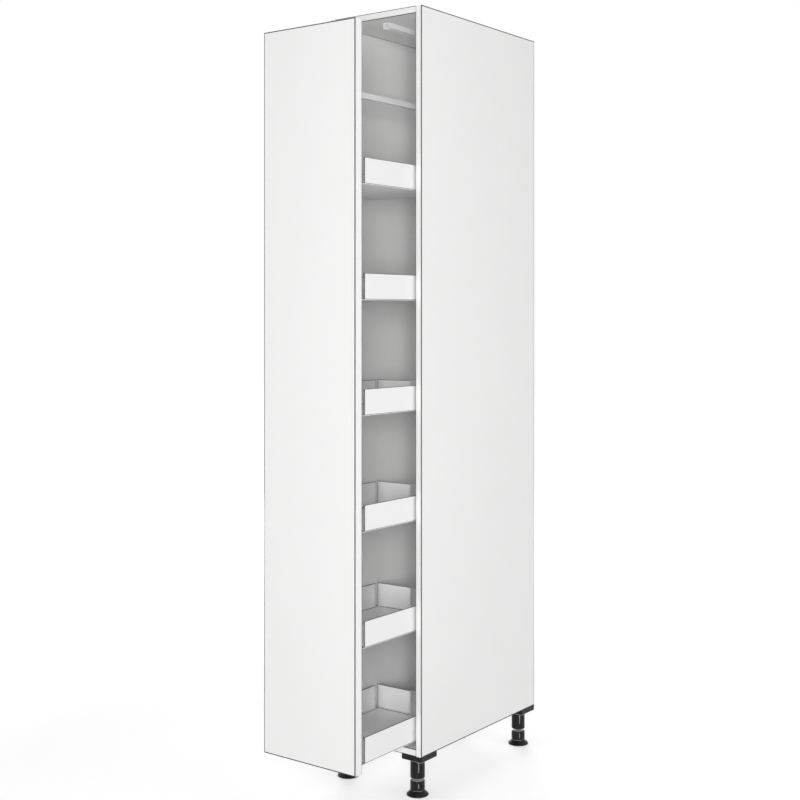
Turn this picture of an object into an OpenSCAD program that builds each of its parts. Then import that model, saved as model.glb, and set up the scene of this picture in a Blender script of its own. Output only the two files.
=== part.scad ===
// Pull-out larder unit: a tall, open-fronted kitchen carcass on four screw legs,
// with a plain slab front that carries a frame of six trays on a base runner.
// X runs across the unit, Y runs from the room towards the wall, Z runs up.
// The origin is on the floor under the middle of the unit, pull-out drawn part open.

/* [Carcass] */
// Outside width of the carcass
carcass_w = 300; // [280:10:450]
// Depth of the side panels
carcass_d = 560; // [500:10:620]
// Height of the side panels
carcass_h = 1920; // [1700:10:2150]
// Thickness of sides, top and base boards
board_t = 18; // [17:1:22]
// Thickness of the back panel
back_t = 8; // [5:1:10]
// Gap behind the back panel for pipes and cables
back_recess = 10; // [6:1:14]
// Depth of the groove that holds the back panel
groove_depth = 8; // [5:1:10]
// Radius of the rounded edges of the boards
edge_r = 1; // [0.5:0.5:2]

/* [Board joints] */
// Diameter of a wooden dowel
dowel_d = 8; // [6:1:8]
// Length of a wooden dowel
dowel_len = 30; // [24:1:34]
// Distance of the dowels from the front and rear edges
dowel_from_edge = 90; // [84:1:110]
// Diameter of a cam housing
cam_d = 15; // [13:1:16]
// Depth of a cam housing
cam_depth = 13; // [12.5:0.5:14]
// Distance from a board's end to the cam's axis
cam_from_end = 24; // [22:1:34]
// Distance of the cams from the front and rear edges
cam_from_edge = 130; // [124:1:180]
// Diameter of a cam bolt
cam_bolt_d = 5; // [4:0.5:6]

/* [Legs] */
// Height from the floor to the carcass underside
leg_h = 110; // [96:1:140]
// Width of the leg flange across the unit
flange_w = 63; // [58:1:70]
// Depth of the leg flange
flange_d = 70; // [66:1:80]
// Height of the leg flange
flange_t = 14; // [11:1:16]
// Leg axis to the outer side face
leg_from_side = 35; // [32:1:40]
// Leg axis to the front or rear edge
leg_from_edge = 32; // [30:1:36]
// Outer diameter of sleeve and adjusting collar
sleeve_d = 38; // [34:1:40]
// Gap between the adjusting collar and the sleeve as drawn
sleeve_gap = 5; // [5:1:20]
// Wall of the moulded leg
leg_wall = 3; // [2:0.5:4]
// Diameter of the screw spindle
spindle_d = 16; // [12:1:18]
// Radial running play of the spindle
spindle_play = 0.05; // [0.02:0.01:0.1]
// Height of the adjusting collar
collar_h = 26; // [23:1:28]
// Diameter of the foot disc
foot_d = 58; // [52:1:60]
// Height of the foot disc below the collar
foot_h = 14; // [12:0.5:16]

/* [Front panel] */
// Thickness of the slab front
panel_t = 26; // [19:1:28]
// Underside of the front above the carcass underside
panel_bottom = 27; // [10:1:36]
// Top of the front below the carcass top
panel_drop = 80; // [70:1:110]
// Inset of the front from each carcass side
panel_inset = 3; // [1.5:0.5:5]

/* [Travel] */
// Gap between the front's back and the carcass as drawn
pull_shown = 240; // [220:1:260]
// Gap left when closed
close_gap = 2; // [1:0.5:4]
// Length of the fixed member that the full travel leaves unused
travel_reserve = 70; // [66:1:90]

/* [Trays] */
// Room between the closed frame and the back panel
frame_room = 81; // [78:1:100]
// Height of a tray's walls
tray_h = 65; // [55:1:85]
// Play between a tray and each side panel
tray_play = 5; // [3:0.5:10]
// Underside of the lowest tray above the carcass underside
tray_bottom = 36.5; // [36:0.5:60]
// Room above the top tray's underside, up to the beam
top_tray_room = 239.5; // [200:0.5:260]
// Gap from the front's back to a tray
tray_setback = 21; // [20:1:30]
// Open gap between a side wall's end and the end wall
corner_gap = 15; // [8:1:20]
// Sheet of the tray walls
wall_t = 1.5; // [1:0.1:2]
// Sheet of the tray floors
floor_t = 1.2; // [1:0.1:2]
// Height of the folded hem on the walls
hem_h = 8; // [5:1:12]
// Width of the folded flange under the walls
flange_fold = 10; // [6:1:14]
// Width of a tray hook
hook_w = 25; // [22:1:30]

/* [Frame] */
// Width of the front post
front_post_w = 40; // [34:1:50]
// Depth of the front post
front_post_d = 15; // [14:0.5:15]
// Width of the rear post
rear_post_w = 20; // [18:1:20]
// Depth of the rear post
rear_post_d = 25; // [22:1:28]
// Wall of the posts
post_wall = 1.5; // [1.2:0.1:2]
// Gap between a tray and the rear post
rear_gap = 19; // [12:1:22]
// Side of the square top beam
beam_s = 15; // [12:1:18]
// Underside of the top beam below the ceiling of the carcass
beam_drop = 213.5; // [160:0.5:280]
// Sheet of the panel brackets
bracket_t = 2; // [2:0.5:2.5]
// Height of a panel bracket
bracket_h = 50; // [40:1:60]
// Width of a panel bracket
bracket_w = 90; // [80:1:110]
// Diameter of the frame bolts
bolt_d = 5; // [4:0.5:6]

/* [Base runner] */
// Fixed member's end to the back panel
runner_rear_room = 30; // [20:1:40]
// How much shorter the middle member is than the fixed one
middle_shorter = 40; // [34:1:60]
// Setback of the fixed member from the carcass front
runner_setback = 12; // [8:1:14]
// Thickness of the members' webs
web_t = 2; // [2:0.1:2.2]
// Radius of a ball
ball_r = 3; // [2.5:0.1:3]
// Play of a ball in its races
ball_play = 0.15; // [0.1:0.01:0.2]
// Half distance between the outer ball rows
outer_row_x = 31.4; // [31:0.1:34]
// Half distance between the inner ball rows
inner_row_x = 21.6; // [21:0.1:22]
// Length of a ball cage
cage_len = 194; // [150:1:200]
// Pitch of the balls in a cage
ball_pitch = 13; // [10:0.5:16]

/* [Top guide] */
// Outside width of the guide rail
rail_w = 22; // [20:1:28]
// Height of the guide rail
rail_h = 14; // [13:0.5:16]
// Wall of the guide rail
rail_wall = 2; // [2:0.1:2.5]
// Side play of a guide roller in the rail
roller_play = 0.5; // [0.3:0.1:1]
// Height of a guide roller
roller_h = 8; // [6:0.5:8]
// Distance between the two guide rollers
roller_gap = 28; // [22:1:32]
// Diameter of a roller pin
pin_d = 5; // [4:0.5:6]
// Radial running play of a roller on its pin
pin_play = 0.05; // [0.02:0.01:0.1]
// Length of the height-adjusting mast inside the rear post
mast_overlap = 200; // [150:10:300]

/* [Hidden] */
$fn = 48;

// Finishes
white_laminate = [0.95, 0.95, 0.94];
white_metal = [0.93, 0.93, 0.93];
bare_steel = [0.72, 0.73, 0.75];
black_plastic = [0.08, 0.08, 0.09];
grey_plastic = [0.55, 0.56, 0.58];
beech = [0.80, 0.65, 0.45];

// Clearances and cuts
eps = 0.01;          // overrun of a cut that ends flush
overrun = 1;         // overrun of a cut through a whole piece
fit_play = 0.1;      // play between pieces that seat in each other
groove_play = 0.2;   // play of the back panel in its groove
blind_play = 1;      // air at the end of a blind hole
slide_play = 0.3;    // air between pieces that pass over each other
hook_play = 0.2;     // play of a tray hook on a wall
post_r = 2;          // corner radii of posts and plates, outside and inside
post_inner_r = 0.8;
tube_r = 1;          // corner radii of smaller tubes, outside and inside
tube_inner_r = 0.5;
sides = [-1, 1];
tray_count = 6;

// Screws and bolts
screw_len = 14;
screw_r = 2;
screw_head_r = 4;
screw_head_h = 2;
screw_tip_r = 0.4;
spigot_screw_len = 9;
spigot_head_r = 5;
spigot_head_h = 2.5;
bolt_head_r = 0.9 * bolt_d;
bolt_head_h = 3;
bolt_end = 4;        // length of a bolt past what it grips
bolt_hole_r = bolt_d / 2 + fit_play;

// Carcass
carcass_y = (pull_shown + panel_t - carcass_d) / 2;
inner_w = carcass_w - 2 * board_t;
back_y = carcass_d - back_recess - back_t;
ceiling_z = carcass_h - board_t;
joint_z = [board_t / 2, carcass_h - board_t / 2];
cam_y = [cam_from_edge, carcass_d - cam_from_edge - back_recess];
dowel_y = [dowel_from_edge, carcass_d - dowel_from_edge - back_recess];
dowel_cover = 5;     // board left outside a dowel and a cam bolt
bolt_cover = 6;
dowel_in_side = board_t - dowel_cover;
bolt_in_side = board_t - bolt_cover;
cam_bolt_back = 1;   // cam bolt's head short of the cam's axis
cam_bolt_reach = cam_from_end - cam_bolt_back;
cam_head_r = 3.3;
cam_head_len = 3;
tunnel_air = 1;      // radial air round a cam bolt in the board
driver_slot = [8, 1.6, 2];

// Legs
flange_r = 2;
rib_t = 2;
sleeve_len = leg_h - foot_h - collar_h - sleeve_gap;
socket_nut_h = 20;
sleeve_tip = 1.5;
peg_r = 5;           // peg that seats the leg in the base board
peg_h = 10;
leg_screw_in = 9;    // leg screws from the flange's edges
leg_screw_past = 12; // inner leg screw past the side panel
socket_screws = [
    [flange_w - leg_screw_in, leg_screw_in],
    [flange_w - leg_screw_in, flange_d - leg_screw_in],
    [board_t + leg_screw_past, flange_d - leg_screw_in]
];
foot_lip = 2.2;
foot_neck = 2;       // width and depth of the groove below the collar
collar_top_r = 3.5;
collar_low_r = 1.5;
spindle_room = 20;    // spindle's end to the carcass underside
spindle_top = leg_h - spindle_room;
spindle_tip = 2;
grip_count = 8;
grip_w = 5;
grip_margin = 5.5;   // collar's edges to the ends of a grip
grip_h = collar_h - 2 * grip_margin;
grip_depth = 1.2;

// Wall fixing
wall_bracket_from_side = 45;
wall_bracket_x = inner_w / 2 - wall_bracket_from_side;
wall_bracket_leg = 40;
wall_bracket_w = 25;
wall_bracket_t = 2.5;
wall_screw_in = 26;  // bracket screw to the back panel
wall_screw_y = back_y - wall_screw_in;
wall_hole_drop = 28; // wall screw's hole below the top board
wall_hole_z = ceiling_z - wall_hole_drop;
wall_hole_r = 3.25;

// Pull-out, measured from the carcass front edge
closing = pull_shown - close_gap;
panel_h = carcass_h - panel_bottom - panel_drop;
panel_back_y = -pull_shown;
front_post_y = panel_back_y + bracket_t;
front_post_mid = front_post_y + front_post_d / 2;
tray_y = panel_back_y + tray_setback;
rear_post_y = back_y - frame_room - rear_post_d - closing;
rear_post_mid = rear_post_y + rear_post_d / 2;
tray_end_y = rear_post_y - rear_gap;
tray_len = tray_end_y - tray_y;
tray_w = inner_w - 2 * tray_play;
front_gap = tray_y - front_post_y - front_post_d;

// Levels of the frame, measured from the carcass underside
beam_z = ceiling_z - beam_drop;
tray_pitch = (beam_z - top_tray_room - tray_bottom) / (tray_count - 1);
slots_per_tray = 9;
slot_pitch = tray_pitch / slots_per_tray;
slot_w = 4;
slot_h = 14;
slot_room = 4;       // slot's height over a tongue's
first_slot = 20;     // lowest slot above a tray's underside
slot_end = 60;       // slots end this far below the top of a post
post_above_beam = 22;
post_top = beam_z + beam_s + post_above_beam;
beam_plate_t = 3;
beam_plate_w = rear_post_w - 1;
beam_plate_reach = 15;
beam_bolt_off = 8;
beam_bolt_z = [beam_z - beam_bolt_off, beam_z + beam_s + beam_bolt_off];
cap_t = 2;
cap_plug = 4;

// Tray hooks
hook_low = first_slot - slot_room;
tongue_play = 0.5;   // side play of a tongue in its slot
tongue_reach = 5;
tongue_lift = 1;
tongue_drop = 3;
tongue_h = slot_h - slot_room;

// Base runner levels, measured from the carcass underside
race_r = ball_r + ball_play;
web_gap = 2;
base_web_top = board_t + web_t;
middle_web_z = base_web_top + web_gap;
middle_web_top = middle_web_z + web_t;
ball_z = middle_web_z + 6;
bar_top = ball_z + 4.5;
top_bar_z = middle_web_top + 1.2;
top_plate_t = 3;
top_plate_z = ball_z + 3.5;
frame_z = top_plate_z + top_plate_t;

// Base runner widths
bar_reach = 2;       // bar face to the ball row's centre line
base_bar_w = 4.6;
inner_bar_w = 5.8;
runner_half_w = outer_row_x + bar_reach + base_bar_w;
middle_half_w = outer_row_x - bar_reach;
middle_bar_w = middle_half_w - inner_row_x - bar_reach;
top_half_w = inner_row_x - bar_reach;

// Base runner places along Y. The middle member moves half as far as the frame,
// the lower cages a quarter and the upper cages three quarters.
base_member_len = back_y - runner_setback - runner_rear_room;
middle_member_len = base_member_len - middle_shorter;
opening = base_member_len - travel_reserve - closing;
middle_setback = 7;
middle_y = runner_setback + middle_setback - closing / 2;
top_member_y = front_post_y;
top_member_tail = 13;
top_member_len = rear_post_y + rear_post_d + top_member_tail - top_member_y;
lower_cage_y = runner_setback + 10 + opening / 4;
upper_cage_y = middle_y - opening / 2 + 12 + opening * 3 / 4;
stop_len = 6;
stop_play = 0.5;
base_stop_y = runner_setback + 18;
middle_stop_y = middle_y + 20;
lower_lug_y = base_stop_y + stop_len + opening / 2 + stop_play;
upper_lug_y = middle_stop_y + stop_len + opening / 2 + stop_play;
lower_stop_w = 16;
upper_stop_w = 10;
upper_stop_h = 2;
upper_lug_z = middle_web_top + 1;
buffer_s = 10;
buffer_x = 12;
buffer_y = middle_y + middle_member_len + closing / 2 + 1;
cage_t = 1.2;
cage_h = 6.8;
cage_end = 6;        // least distance from a cage's end to a ball's centre
balls_per_cage = floor((cage_len - 2 * cage_end) / ball_pitch) + 1;
first_ball = (cage_len - (balls_per_cage - 1) * ball_pitch) / 2;

// Spigots of the posts
spigot_h = tray_bottom + hook_low - frame_z;
spigot_bolt_z = frame_z + spigot_h - 7;
spigot_play = post_wall + fit_play;
spigot_screw_places = [
    [-9, front_post_mid], [9, front_post_mid],
    [0, rear_post_mid - 5], [0, rear_post_mid + 5]
];

// Top guide
roller_r = (rail_w - 2 * rail_wall) / 2 - roller_play;
roller_edge = 1;
rail_room = 2;       // rail's end to the back panel
rail_end_y = back_y - rail_room;
rail_margin = 7;     // rail left over past a roller at its limit
roller_rear_y = rail_end_y - rail_margin - roller_r - closing;
roller_front_y = roller_rear_y - roller_gap;
rail_y = roller_front_y - opening - roller_r - rail_margin;
rail_z = ceiling_z - rail_h;
rail_r = 0.8;
roller_z = rail_z + 2.5;
roller_air = 0.2;
arm_wall = 1.5;
arm_drop = 20;
arm_top = rail_z - 1;
arm_end_y = roller_rear_y + roller_r;
arm_bolt_z = arm_top - arm_drop / 2 - arm_wall;
pin_head_r = pin_d / 2 + 1.5;
pin_head_h = 2;
clip_t = 1;
mast_wall = 2;
mast_y = rear_post_y + spigot_play;
mast_w = rear_post_w - 2 * spigot_play;
mast_d = rear_post_d - 2 * spigot_play;
mast_foot = post_top - mast_overlap;
mast_bolt_low = 20;  // bolts above the mast's foot and below the post's top
mast_bolt_high = 70;
mast_bolt_z = [mast_foot + mast_bolt_low, post_top - mast_bolt_high];
arm_w = mast_w + 2 * (arm_wall + fit_play);

// Places that repeat
bracket_low = 150;   // lowest panel bracket above the front's underside
bracket_high = 100;  // highest panel bracket below the beam
panel_bracket_z = spread(4, panel_bottom + bracket_low, beam_z - bracket_high);
bracket_screw_in = 10;
bracket_screw_x = [-bracket_w / 2 + bracket_screw_in, bracket_w / 2 - bracket_screw_in];
bracket_screw_z = [bracket_screw_in, bracket_h - bracket_screw_in];
runner_screw_in = 60;
runner_screw_y = spread(4, runner_setback + runner_screw_in,
                        runner_setback + base_member_len - runner_screw_in);
rail_screw_in = 25;
rail_screw_y = spread(3, rail_y + rail_screw_in, rail_end_y - rail_screw_in);

function spread(count, from, to) = [for (i = [0:count - 1]) from + i * (to - from) / (count - 1)];
function tray_z(n) = tray_bottom + (n - 1) * tray_pitch;
function arc(cx, cy, r, from, to, steps = 6) =
    [for (i = [0:steps]) let (a = from + (to - from) * i / steps) [cx + r * cos(a), cy + r * sin(a)]];

// ---- Shared shapes ----

// Carries what is measured from the carcass's front lower edge to its place.
module from_carcass() {
    translate([0, carcass_y, leg_h]) children();
}

// Sets its children at each lower corner: x and y then run inwards from the corner.
module at_corner(side, rear) {
    translate([side * carcass_w / 2, rear ? carcass_d : 0, 0])
        mirror([side > 0 ? 1 : 0, 0, 0])
            mirror([0, rear ? 1 : 0, 0])
                children();
}

// Flat shape with round corners, centred in X, from y = 0 to d.
module rounded_rect(w, d, r) {
    translate([-w / 2 + r, 0]) square([w - 2 * r, d]);
    translate([-w / 2, r]) square([w, d - 2 * r]);
    for (x = [-w / 2 + r, w / 2 - r], y = [r, d - r])
        translate([x, y]) circle(r);
}

// Section of a rectangular tube, placed as rounded_rect.
module tube_section(w, d, wall, outer_r, inner_r) {
    difference() {
        rounded_rect(w, d, outer_r);
        translate([0, wall]) rounded_rect(w - 2 * wall, d - 2 * wall, inner_r);
    }
}

// Section of a channel that opens downwards, placed as rounded_rect.
module channel_section(w, h, wall, outer_r) {
    difference() {
        rounded_rect(w, h, outer_r);
        translate([-w / 2 + wall, -eps]) square([w - 2 * wall, h - wall + eps]);
    }
}

// Pushes a profile in X and Z along Y.
module along_y(y, len) {
    translate([0, y + len, 0]) rotate([90, 0, 0]) linear_extrude(height = len) children();
}

// Pushes a profile in Y and Z along X, centred.
module along_x(len) {
    translate([-len / 2, 0, 0]) rotate([90, 0, 90]) linear_extrude(height = len) children();
}

// Round bar along X through the middle.
module bar_x(r, len) {
    rotate([0, 90, 0]) cylinder(r = r, h = len, center = true);
}

// Turns what points up so that it points forwards, towards the room.
module pointing_forward() {
    rotate([90, 0, 0]) children();
}

// Turns what points up so that it points backwards, towards the wall.
module pointing_back() {
    rotate([-90, 0, 0]) children();
}

// Countersunk screw, head face at z = 0, pointing up.
module screw_up() {
    shank = screw_len - screw_r;
    cylinder(r1 = screw_head_r, r2 = screw_r, h = screw_head_h);
    cylinder(r = screw_r, h = shank);
    translate([0, 0, shank]) cylinder(r1 = screw_r, r2 = screw_tip_r, h = screw_r);
}

// What such a screw takes out of a sheet of thickness t.
module screw_seat(t) {
    cylinder(r1 = screw_head_r, r2 = screw_r, h = screw_head_h);
    translate([0, 0, -eps]) cylinder(r = screw_r, h = t + 2 * eps);
}

// Bolt along +Z through what it grips, with a hex head below and a nut above.
module hex_bolt(grip) {
    translate([0, 0, -bolt_head_h]) cylinder(r = bolt_head_r, h = bolt_head_h, $fn = 6);
    translate([0, 0, -bolt_head_h]) cylinder(d = bolt_d, h = bolt_head_h + grip + bolt_end);
    translate([0, 0, grip]) cylinder(r = bolt_head_r, h = bolt_head_h, $fn = 6);
}

// ---- Carcass ----

module side_panel(side) {
    groove_x = side > 0 ? inner_w / 2 - eps : -inner_w / 2 - groove_depth;
    color(white_laminate)
    from_carcass()
    difference() {
        translate([side * (carcass_w - board_t) / 2, 0, 0])
            linear_extrude(height = carcass_h) rounded_rect(board_t, carcass_d, edge_r);
        translate([groove_x, back_y - groove_play / 2, board_t / 2])
            cube([groove_depth + eps, back_t + groove_play, carcass_h - board_t]);
        for (z = joint_z) {
            for (y = dowel_y)
                translate([side * inner_w / 2, y, z]) bar_x(dowel_d / 2, 2 * dowel_in_side);
            for (y = cam_y)
                translate([side * inner_w / 2, y, z]) bar_x(cam_bolt_d / 2, 2 * bolt_in_side);
        }
    }
}

// A board between the sides. Its cams open on the hidden face.
module cross_board(cams_on_top) {
    dowel_hole = dowel_len - dowel_in_side + 2 * blind_play;
    difference() {
        linear_extrude(height = board_t) rounded_rect(inner_w, carcass_d, edge_r);
        translate([-inner_w / 2 - eps, back_y - groove_play / 2, cams_on_top ? -eps : board_t - groove_depth])
            cube([inner_w + 2 * eps, back_t + groove_play, groove_depth + eps]);
        for (side = sides, y = cam_y) {
            translate([side * (inner_w / 2 - cam_from_end), y, cams_on_top ? board_t - cam_depth : -eps])
                cylinder(d = cam_d, h = cam_depth + eps);
            translate([side * (inner_w / 2 - cam_from_end / 2 + overrun), y, board_t / 2])
                bar_x(cam_bolt_d / 2 + tunnel_air, cam_from_end);
        }
        for (side = sides, y = dowel_y)
            translate([side * inner_w / 2, y, board_t / 2]) bar_x(dowel_d / 2, 2 * dowel_hole);
    }
}

module top_board() {
    color(white_laminate)
    from_carcass()
    difference() {
        translate([0, 0, ceiling_z]) cross_board(true);
        for (y = rail_screw_y)
            translate([0, y, ceiling_z - rail_wall]) cylinder(r = screw_r, h = screw_len);
        for (side = sides)
            translate([side * wall_bracket_x, wall_screw_y, ceiling_z - wall_bracket_t])
                cylinder(r = screw_r, h = screw_len);
    }
}

module base_board() {
    color(white_laminate)
    from_carcass()
    difference() {
        cross_board(false);
        for (side = sides, rear = [false, true])
            at_corner(side, rear) {
                translate([leg_from_side, leg_from_edge, -eps])
                    cylinder(r = peg_r + fit_play, h = peg_h + blind_play);
                for (p = socket_screws)
                    translate([p[0], p[1], -leg_wall]) cylinder(r = screw_r, h = screw_len);
            }
        for (y = runner_screw_y)
            translate([0, y, base_web_top - screw_len]) cylinder(r = screw_r, h = screw_len);
    }
}

module back_panel() {
    in_groove = groove_depth - groove_play;
    w = inner_w + 2 * in_groove;
    h = ceiling_z - board_t + 2 * in_groove;
    color(white_laminate)
    from_carcass()
    difference() {
        translate([-w / 2, back_y, board_t - in_groove]) cube([w, back_t, h]);
        for (side = sides)
            translate([side * wall_bracket_x, back_y - eps, wall_hole_z])
                pointing_back() cylinder(r = wall_hole_r, h = back_t + 2 * eps);
    }
}

module dowels() {
    dowel_x = inner_w / 2 + dowel_in_side - blind_play - dowel_len / 2;
    color(beech)
    from_carcass()
    for (side = sides, y = dowel_y, z = joint_z)
        translate([side * dowel_x, y, z]) bar_x(dowel_d / 2, dowel_len);
}

module cam_bolts() {
    len = cam_bolt_reach + bolt_in_side - blind_play;
    color(bare_steel)
    from_carcass()
    for (side = sides, y = cam_y, z = joint_z)
        translate([side * inner_w / 2, y, z]) {
            translate([side * (len / 2 - cam_bolt_reach), 0, 0]) bar_x(cam_bolt_d / 2, len);
            translate([-side * (cam_bolt_reach + cam_head_len / 2 - eps), 0, 0])
                bar_x(cam_head_r, cam_head_len);
        }
}

// A round cam with a keyhole for the bolt's head and a cross slot for the driver.
module cam_housing(side) {
    difference() {
        cylinder(r = cam_d / 2 - fit_play, h = cam_depth - fit_play);
        translate([side * cam_d / 4, 0, board_t / 2])
            bar_x(cam_head_r + slide_play, cam_d / 2 + 2 * cam_head_len);
        for (a = [0, 90])
            rotate(a) translate([-driver_slot[0] / 2, -driver_slot[1] / 2, -eps]) cube(driver_slot);
    }
}

module cam_housings() {
    color(bare_steel)
    from_carcass()
    for (side = sides, y = cam_y) {
        translate([side * (inner_w / 2 - cam_from_end), y, 0]) cam_housing(side);
        translate([side * (inner_w / 2 - cam_from_end), y, carcass_h]) mirror([0, 0, 1]) cam_housing(side);
    }
}

// ---- Legs ----

// Moulded flange and sleeve in one piece, ribbed on the underside, nut at the lower end.
module leg_socket() {
    sunk = leg_wall / 2;
    difference() {
        union() {
            difference() {
                translate([flange_w / 2, 0, -flange_t])
                    linear_extrude(height = flange_t) rounded_rect(flange_w, flange_d, flange_r);
                translate([leg_wall, leg_wall, -flange_t - eps])
                    cube([flange_w - 2 * leg_wall, flange_d - 2 * leg_wall, flange_t - leg_wall + eps]);
            }
            translate([leg_from_side - rib_t / 2, sunk, -flange_t])
                cube([rib_t, flange_d - 2 * sunk, flange_t - sunk]);
            translate([sunk, leg_from_edge - rib_t / 2, -flange_t])
                cube([flange_w - 2 * sunk, rib_t, flange_t - sunk]);
            translate([leg_from_side, leg_from_edge, 0]) {
                translate([0, 0, -sleeve_len + sleeve_tip])
                    cylinder(d = sleeve_d, h = sleeve_len - sleeve_tip - sunk);
                translate([0, 0, -sleeve_len])
                    cylinder(d1 = sleeve_d - 2 * sleeve_tip, d2 = sleeve_d, h = sleeve_tip);
                translate([0, 0, -sunk]) cylinder(r = peg_r, h = peg_h + sunk);
            }
        }
        translate([leg_from_side, leg_from_edge, -sleeve_len]) {
            translate([0, 0, socket_nut_h])
                cylinder(d = sleeve_d - 2 * leg_wall, h = sleeve_len - socket_nut_h - leg_wall);
            translate([0, 0, -eps])
                cylinder(r = spindle_d / 2 + spindle_play, h = socket_nut_h + 2 * eps);
        }
        for (p = socket_screws)
            translate([p[0], p[1], -leg_wall]) screw_seat(leg_wall);
    }
}

module leg_sockets() {
    color(black_plastic)
    from_carcass()
    for (side = sides, rear = [false, true])
        at_corner(side, rear) leg_socket();
}

// Outline of foot disc, collar and spindle, radius against height, floor at z = 0.
module foot_outline() {
    r = sleeve_d / 2;
    collar_z = foot_h + collar_h;
    spindle_r = spindle_d / 2;
    polygon(concat(
        [[0, 0]],
        arc(foot_d / 2 - foot_lip, foot_lip, foot_lip, -90, 60),
        [[r, foot_h - foot_neck], [r - foot_neck, foot_h - foot_neck], [r - foot_neck, foot_h]],
        arc(r - collar_low_r, foot_h + collar_low_r, collar_low_r, -90, 0),
        arc(r - collar_top_r, collar_z - collar_top_r, collar_top_r, 0, 90),
        [[spindle_r, collar_z], [spindle_r, spindle_top - spindle_tip]],
        [[spindle_r - spindle_tip, spindle_top], [0, spindle_top]]
    ));
}

// Screw foot: spindle, adjusting collar with grip recesses and foot disc in one moulding.
module screw_foot(side, rear) {
    deep = 2 * grip_depth;
    color(black_plastic)
    from_carcass()
    at_corner(side, rear)
    translate([leg_from_side, leg_from_edge, -leg_h])
    difference() {
        rotate_extrude() foot_outline();
        for (i = [0:grip_count - 1])
            rotate(i * 360 / grip_count)
                translate([sleeve_d / 2 - grip_depth, 0, foot_h + collar_h / 2]) {
                    translate([0, -grip_w / 2, -(grip_h - grip_w) / 2]) cube([deep, grip_w, grip_h - grip_w]);
                    for (z = [-1, 1])
                        translate([deep / 2, 0, z * (grip_h - grip_w) / 2]) bar_x(grip_w / 2, deep);
                }
    }
}

module foot_front_left() { screw_foot(-1, false); }
module foot_front_right() { screw_foot(1, false); }
module foot_rear_left() { screw_foot(-1, true); }
module foot_rear_right() { screw_foot(1, true); }

// ---- Wall fixing ----

module wall_brackets() {
    color(bare_steel)
    from_carcass()
    for (side = sides)
        translate([side * wall_bracket_x, 0, 0])
        difference() {
            union() {
                translate([-wall_bracket_w / 2, back_y - wall_bracket_leg, ceiling_z - wall_bracket_t])
                    cube([wall_bracket_w, wall_bracket_leg, wall_bracket_t]);
                translate([-wall_bracket_w / 2, back_y - wall_bracket_t, ceiling_z - wall_bracket_leg])
                    cube([wall_bracket_w, wall_bracket_t, wall_bracket_leg]);
            }
            translate([0, wall_screw_y, ceiling_z - wall_bracket_t]) screw_seat(wall_bracket_t);
            translate([0, back_y - wall_bracket_t - eps, wall_hole_z])
                pointing_back() cylinder(r = wall_hole_r, h = wall_bracket_t + 2 * eps);
        }
}

module wood_screws() {
    color(bare_steel)
    from_carcass() {
        for (side = sides, rear = [false, true], p = socket_screws)
            at_corner(side, rear) translate([p[0], p[1], -leg_wall]) screw_up();
        for (y = rail_screw_y) translate([0, y, ceiling_z - rail_wall]) screw_up();
        for (side = sides)
            translate([side * wall_bracket_x, wall_screw_y, ceiling_z - wall_bracket_t]) screw_up();
        for (y = runner_screw_y) translate([0, y, base_web_top]) mirror([0, 0, 1]) screw_up();
    }
}

// ---- Base runner ----

// Round races cut along the whole of a member.
module races(row_x, y, len) {
    for (side = sides)
        translate([side * row_x, y - overrun, ball_z])
            pointing_back() cylinder(r = race_r, h = len + 2 * overrun);
}

// Section of a member: a web of half width half_w and a bar along each side of it.
module member_section(half_w, web_z, web_h, bar_w, bar_z, bar_end) {
    translate([-half_w, web_z]) square([2 * half_w, web_h]);
    for (x = [-half_w, half_w - bar_w])
        translate([x, bar_z]) square([bar_w, bar_end - bar_z]);
}

// A stop across the middle of a member.
module stop(w, y, z, h) {
    translate([-w / 2, y, z]) cube([w, stop_len, h]);
}

module runner_base_member() {
    color(bare_steel)
    from_carcass()
    difference() {
        union() {
            along_y(runner_setback, base_member_len)
                member_section(runner_half_w, board_t, web_t, base_bar_w, board_t, bar_top);
            stop(lower_stop_w, base_stop_y, board_t + web_t / 2, web_t / 2 + web_gap - slide_play);
        }
        races(outer_row_x, runner_setback, base_member_len);
        for (y = runner_screw_y)
            translate([0, y, base_web_top]) mirror([0, 0, 1]) screw_seat(web_t);
    }
}

module runner_buffers() {
    color(black_plastic)
    from_carcass()
    for (side = sides)
        translate([side * buffer_x - buffer_s / 2, buffer_y, base_web_top])
            cube([buffer_s, buffer_s, ball_z - base_web_top]);
}

module runner_middle_member() {
    color(bare_steel)
    from_carcass()
    difference() {
        union() {
            along_y(middle_y, middle_member_len)
                member_section(middle_half_w, middle_web_z, web_t, middle_bar_w, middle_web_z, bar_top);
            stop(lower_stop_w, lower_lug_y, base_web_top + slide_play, web_gap);
            stop(upper_stop_w, middle_stop_y, middle_web_z + web_t / 2, web_t / 2 + upper_stop_h);
        }
        races(outer_row_x, middle_y, middle_member_len);
        races(inner_row_x, middle_y, middle_member_len);
    }
}

module runner_top_member() {
    color(bare_steel)
    from_carcass()
    difference() {
        union() {
            along_y(top_member_y, top_member_len)
                member_section(top_half_w, top_plate_z, top_plate_t, inner_bar_w, top_bar_z, frame_z);
            stop(upper_stop_w, upper_lug_y, upper_lug_z, top_plate_z - upper_lug_z + top_plate_t / 2);
        }
        races(inner_row_x, top_member_y, top_member_len);
        for (p = spigot_screw_places)
            translate([p[0], p[1], top_plate_z]) {
                cylinder(r1 = spigot_head_r, r2 = bolt_d / 2, h = spigot_head_h);
                translate([0, 0, -eps]) cylinder(r = bolt_d / 2, h = top_plate_t + 2 * eps);
            }
    }
}

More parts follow.
